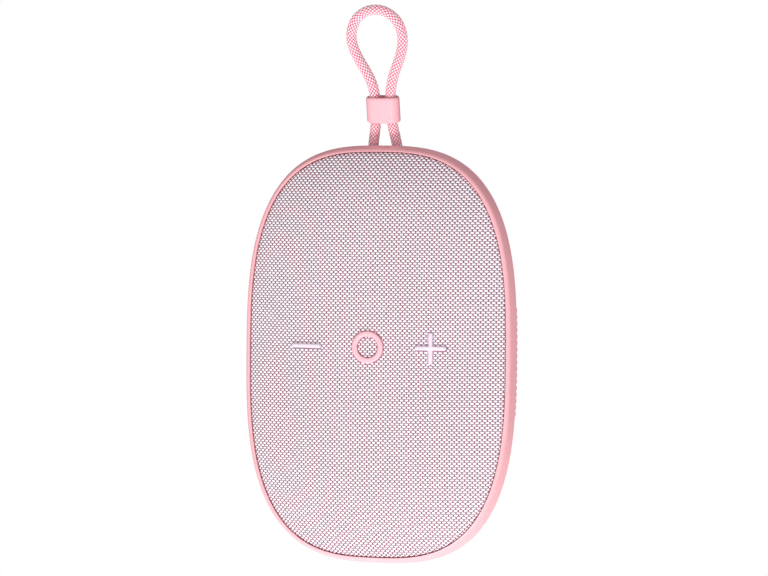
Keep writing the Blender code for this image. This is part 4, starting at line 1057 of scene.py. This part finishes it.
STRANDS = 9                    # each way round
STRAND_SIDES = 4
BRAID_RADIUS = 0.00162
STRAND_SIZE = (0.00037, 0.00013)
STRAND_WAVE = 0.00011
CORE_RADIUS = 0.00150
CORE_SIDES = 24
CORE_EVERY = 6                 # samples of the line between the core's rings
CROSSING_STEPS = 4
BRAID_STRETCH = 1.22           # a strand's advance along the cord for its advance round it
turns = np.linalg.norm(np.diff(line, axis=0), axis=1).sum() / (BRAID_RADIUS * BRAID_STRETCH)
samples = round(turns * STRANDS / math.pi * CROSSING_STEPS)
line, distance = evenly(line, samples)
tangent = np.gradient(line, axis=0)
tangent /= np.linalg.norm(tangent, axis=1, keepdims=True)
across_axis = np.tile([0.0, 1.0, 0.0], (samples, 1))
third_axis = np.cross(tangent, across_axis)
phase = distance / (BRAID_RADIUS * BRAID_STRETCH)


def braid(direction):
    """The strands that wind one way round the cord."""
    gathered = TubeMesh(STRAND_SIDES)
    for strand in range(STRANDS):
        angle = 2 * math.pi * strand / STRANDS + direction * phase
        height = direction * np.cos(STRANDS * phase)
        outwards = across_axis * np.cos(angle)[:, None] + third_axis * np.sin(angle)[:, None]
        centres = line + outwards * (BRAID_RADIUS + STRAND_WAVE * height)[:, None]
        along = np.gradient(centres, axis=0)
        along /= np.linalg.norm(along, axis=1, keepdims=True)
        swell = 0.5 + 0.5 * height
        rings = tube_rings(centres, outwards, along, np.full(samples, STRAND_SIZE[0]),
                           np.full(samples, STRAND_SIZE[1]), STRAND_SIDES)
        gathered.add(rings, swell, np.floor(STRANDS * phase / math.pi) + strand * 5.3)
    return gathered


right_strands = braid(1).build("braid_right", cord_strand, STRAP)
left_strands = braid(-1).build("braid_left", cord_strand, STRAP)
circle = circle_points(1.0, CORE_SIDES)
core_rings = []
for index in range(0, samples, CORE_EVERY):
    ring = circle[:, :1] * across_axis[index] + circle[:, 1:] * third_axis[index]
    core_rings.append(line[index] + CORE_RADIUS * ring)
core = loft("cord_core", core_rings, cord_core, STRAP)
for piece in (right_strands, left_strands, core):
    finish_piece(piece, "housing", "braided_cord")
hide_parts("lanyard_cord")

half_height = BEAD_SIZE[2] / 2
outer_section = []
for inset, height in round_over(BEAD_EDGE_HEIGHT * BEAD_EDGE_REACH, BEAD_EDGE_HEIGHT, 9):
    outer_section.append((inset, half_height - BEAD_EDGE_HEIGHT + height))
inner_section = [(BEAD_WALL - 0.00005, half_height - 0.00004), (BEAD_WALL, half_height - 0.0002),
                 (BEAD_WALL, half_height - 0.0006)]
top_section = outer_section + inner_section
full_section = top_section + [(inset, -height) for inset, height in reversed(top_section)]
rings = []
for inset, height in full_section:
    shape = stadium(BEAD_SIZE[0] - 2 * inset, BEAD_SIZE[1] - 2 * inset)
    rings.append(np.column_stack([shape, np.full(len(shape), height)]))
bead_place = STRAP @ Matrix.Translation((0, 0, BEAD_ABOVE_EXIT))
bead = loft("cord_bead", rings, bead_pink, bead_place, closed=True, angle=50)
finish_piece(bead, "cord_slider", "bead", "lanyard_bead")

# Section of a grommet: the bore's rounded lip, the collar outside, and the sleeve in the shell.
GROMMET_PROFILE = [
    (0.00205, 0.0003), (0.0022, 0.00055), (0.0024, 0.0006), (0.0027, 0.0006), (0.0030, 0.00045),
    (0.0031, 0.0002), (0.0031, -0.0003), (0.0026, -0.0003), (0.0026, -0.0028), (0.00205, -0.0028),
]
for label, side in (("left", -1), ("right", 1)):
    grommet = turned("grommet_" + label, GROMMET_PROFILE, pink_rubber, at_leg(side))
    finish_piece(grommet, "housing", "pink_rubber", "cord_grommet_" + label)

# ------------------------ floor and light

FLOOR_Z = -0.90
FLOOR_HALF = 3
corners = ((-1, -1), (1, -1), (1, 1), (-1, 1))
floor_points = [(x * FLOOR_HALF, y * FLOOR_HALF, FLOOR_Z) for x, y in corners]
floor_mesh = mesh_of("floor", floor_points, [(0, 1, 2, 3)])
floor_material, tree, shader = new_material("pale_floor")
mottled = ramp(tree, place_noise(tree, 3, 2.0),
               [(0.3, (0.93, 0.93, 0.93)), (0.7, (0.95, 0.95, 0.95))])
tree.links.new(mottled, shader.inputs["Base Color"])
tree.links.new(mottled, shader.inputs["Emission Color"])
shader.inputs["Emission Strength"].default_value = 0.66
floor = new_object("floor", floor_mesh, floor_material, Matrix.Identity(4))

# The room's light grows towards the front and the top; the background itself is plain white.
ROOM_LIGHT = 0.33
ROOM_SLOPE = (0.0, -0.52, 0.20)
ROOM_LEAST = 0.06
world = bpy.data.worlds.new("studio")
bpy.context.scene.world = world
world.use_nodes = True
tree = world.node_tree
where = tree.nodes.new("ShaderNodeTexCoord")
rays = tree.nodes.new("ShaderNodeLightPath")
facing = combine(tree, "ShaderNodeVectorMath", "DOT_PRODUCT", where.outputs["Generated"], ROOM_SLOPE)
level = combine(tree, "ShaderNodeMath", "ADD", facing.outputs["Value"], ROOM_LIGHT)
least = combine(tree, "ShaderNodeMath", "MAXIMUM", level.outputs[0], ROOM_LEAST)
seen = combine(tree, "ShaderNodeMath", "MAXIMUM", least.outputs[0], rays.outputs["Is Camera Ray"])
tree.links.new(seen.outputs[0], tree.nodes["Background"].inputs["Strength"])
tree.nodes["Background"].inputs["Color"].default_value = (1.0, 1.0, 1.0, 1.0)


def area_light(name, place, target, size, power):
    """Disk light that faces the target."""
    made = bpy.data.objects.new(name, bpy.data.lights.new(name, "AREA"))
    made.data.shape = "DISK"
    made.data.size = size
    made.data.energy = power
    made.location = place
    made.rotation_euler = (Vector(place) - Vector(target)).to_track_quat("Z", "Y").to_euler()
    bpy.context.scene.collection.objects.link(made)


SOFTBOX_PLACE = (0.15, -0.75, -0.80)   # low in front, a little to the right
SOFTBOX_SIZE = 0.35
SOFTBOX_POWER = 6.4
area_light("front_softbox", SOFTBOX_PLACE, BODY.translation, SOFTBOX_SIZE, SOFTBOX_POWER)

bpy.context.scene.view_settings.view_transform = "Standard"
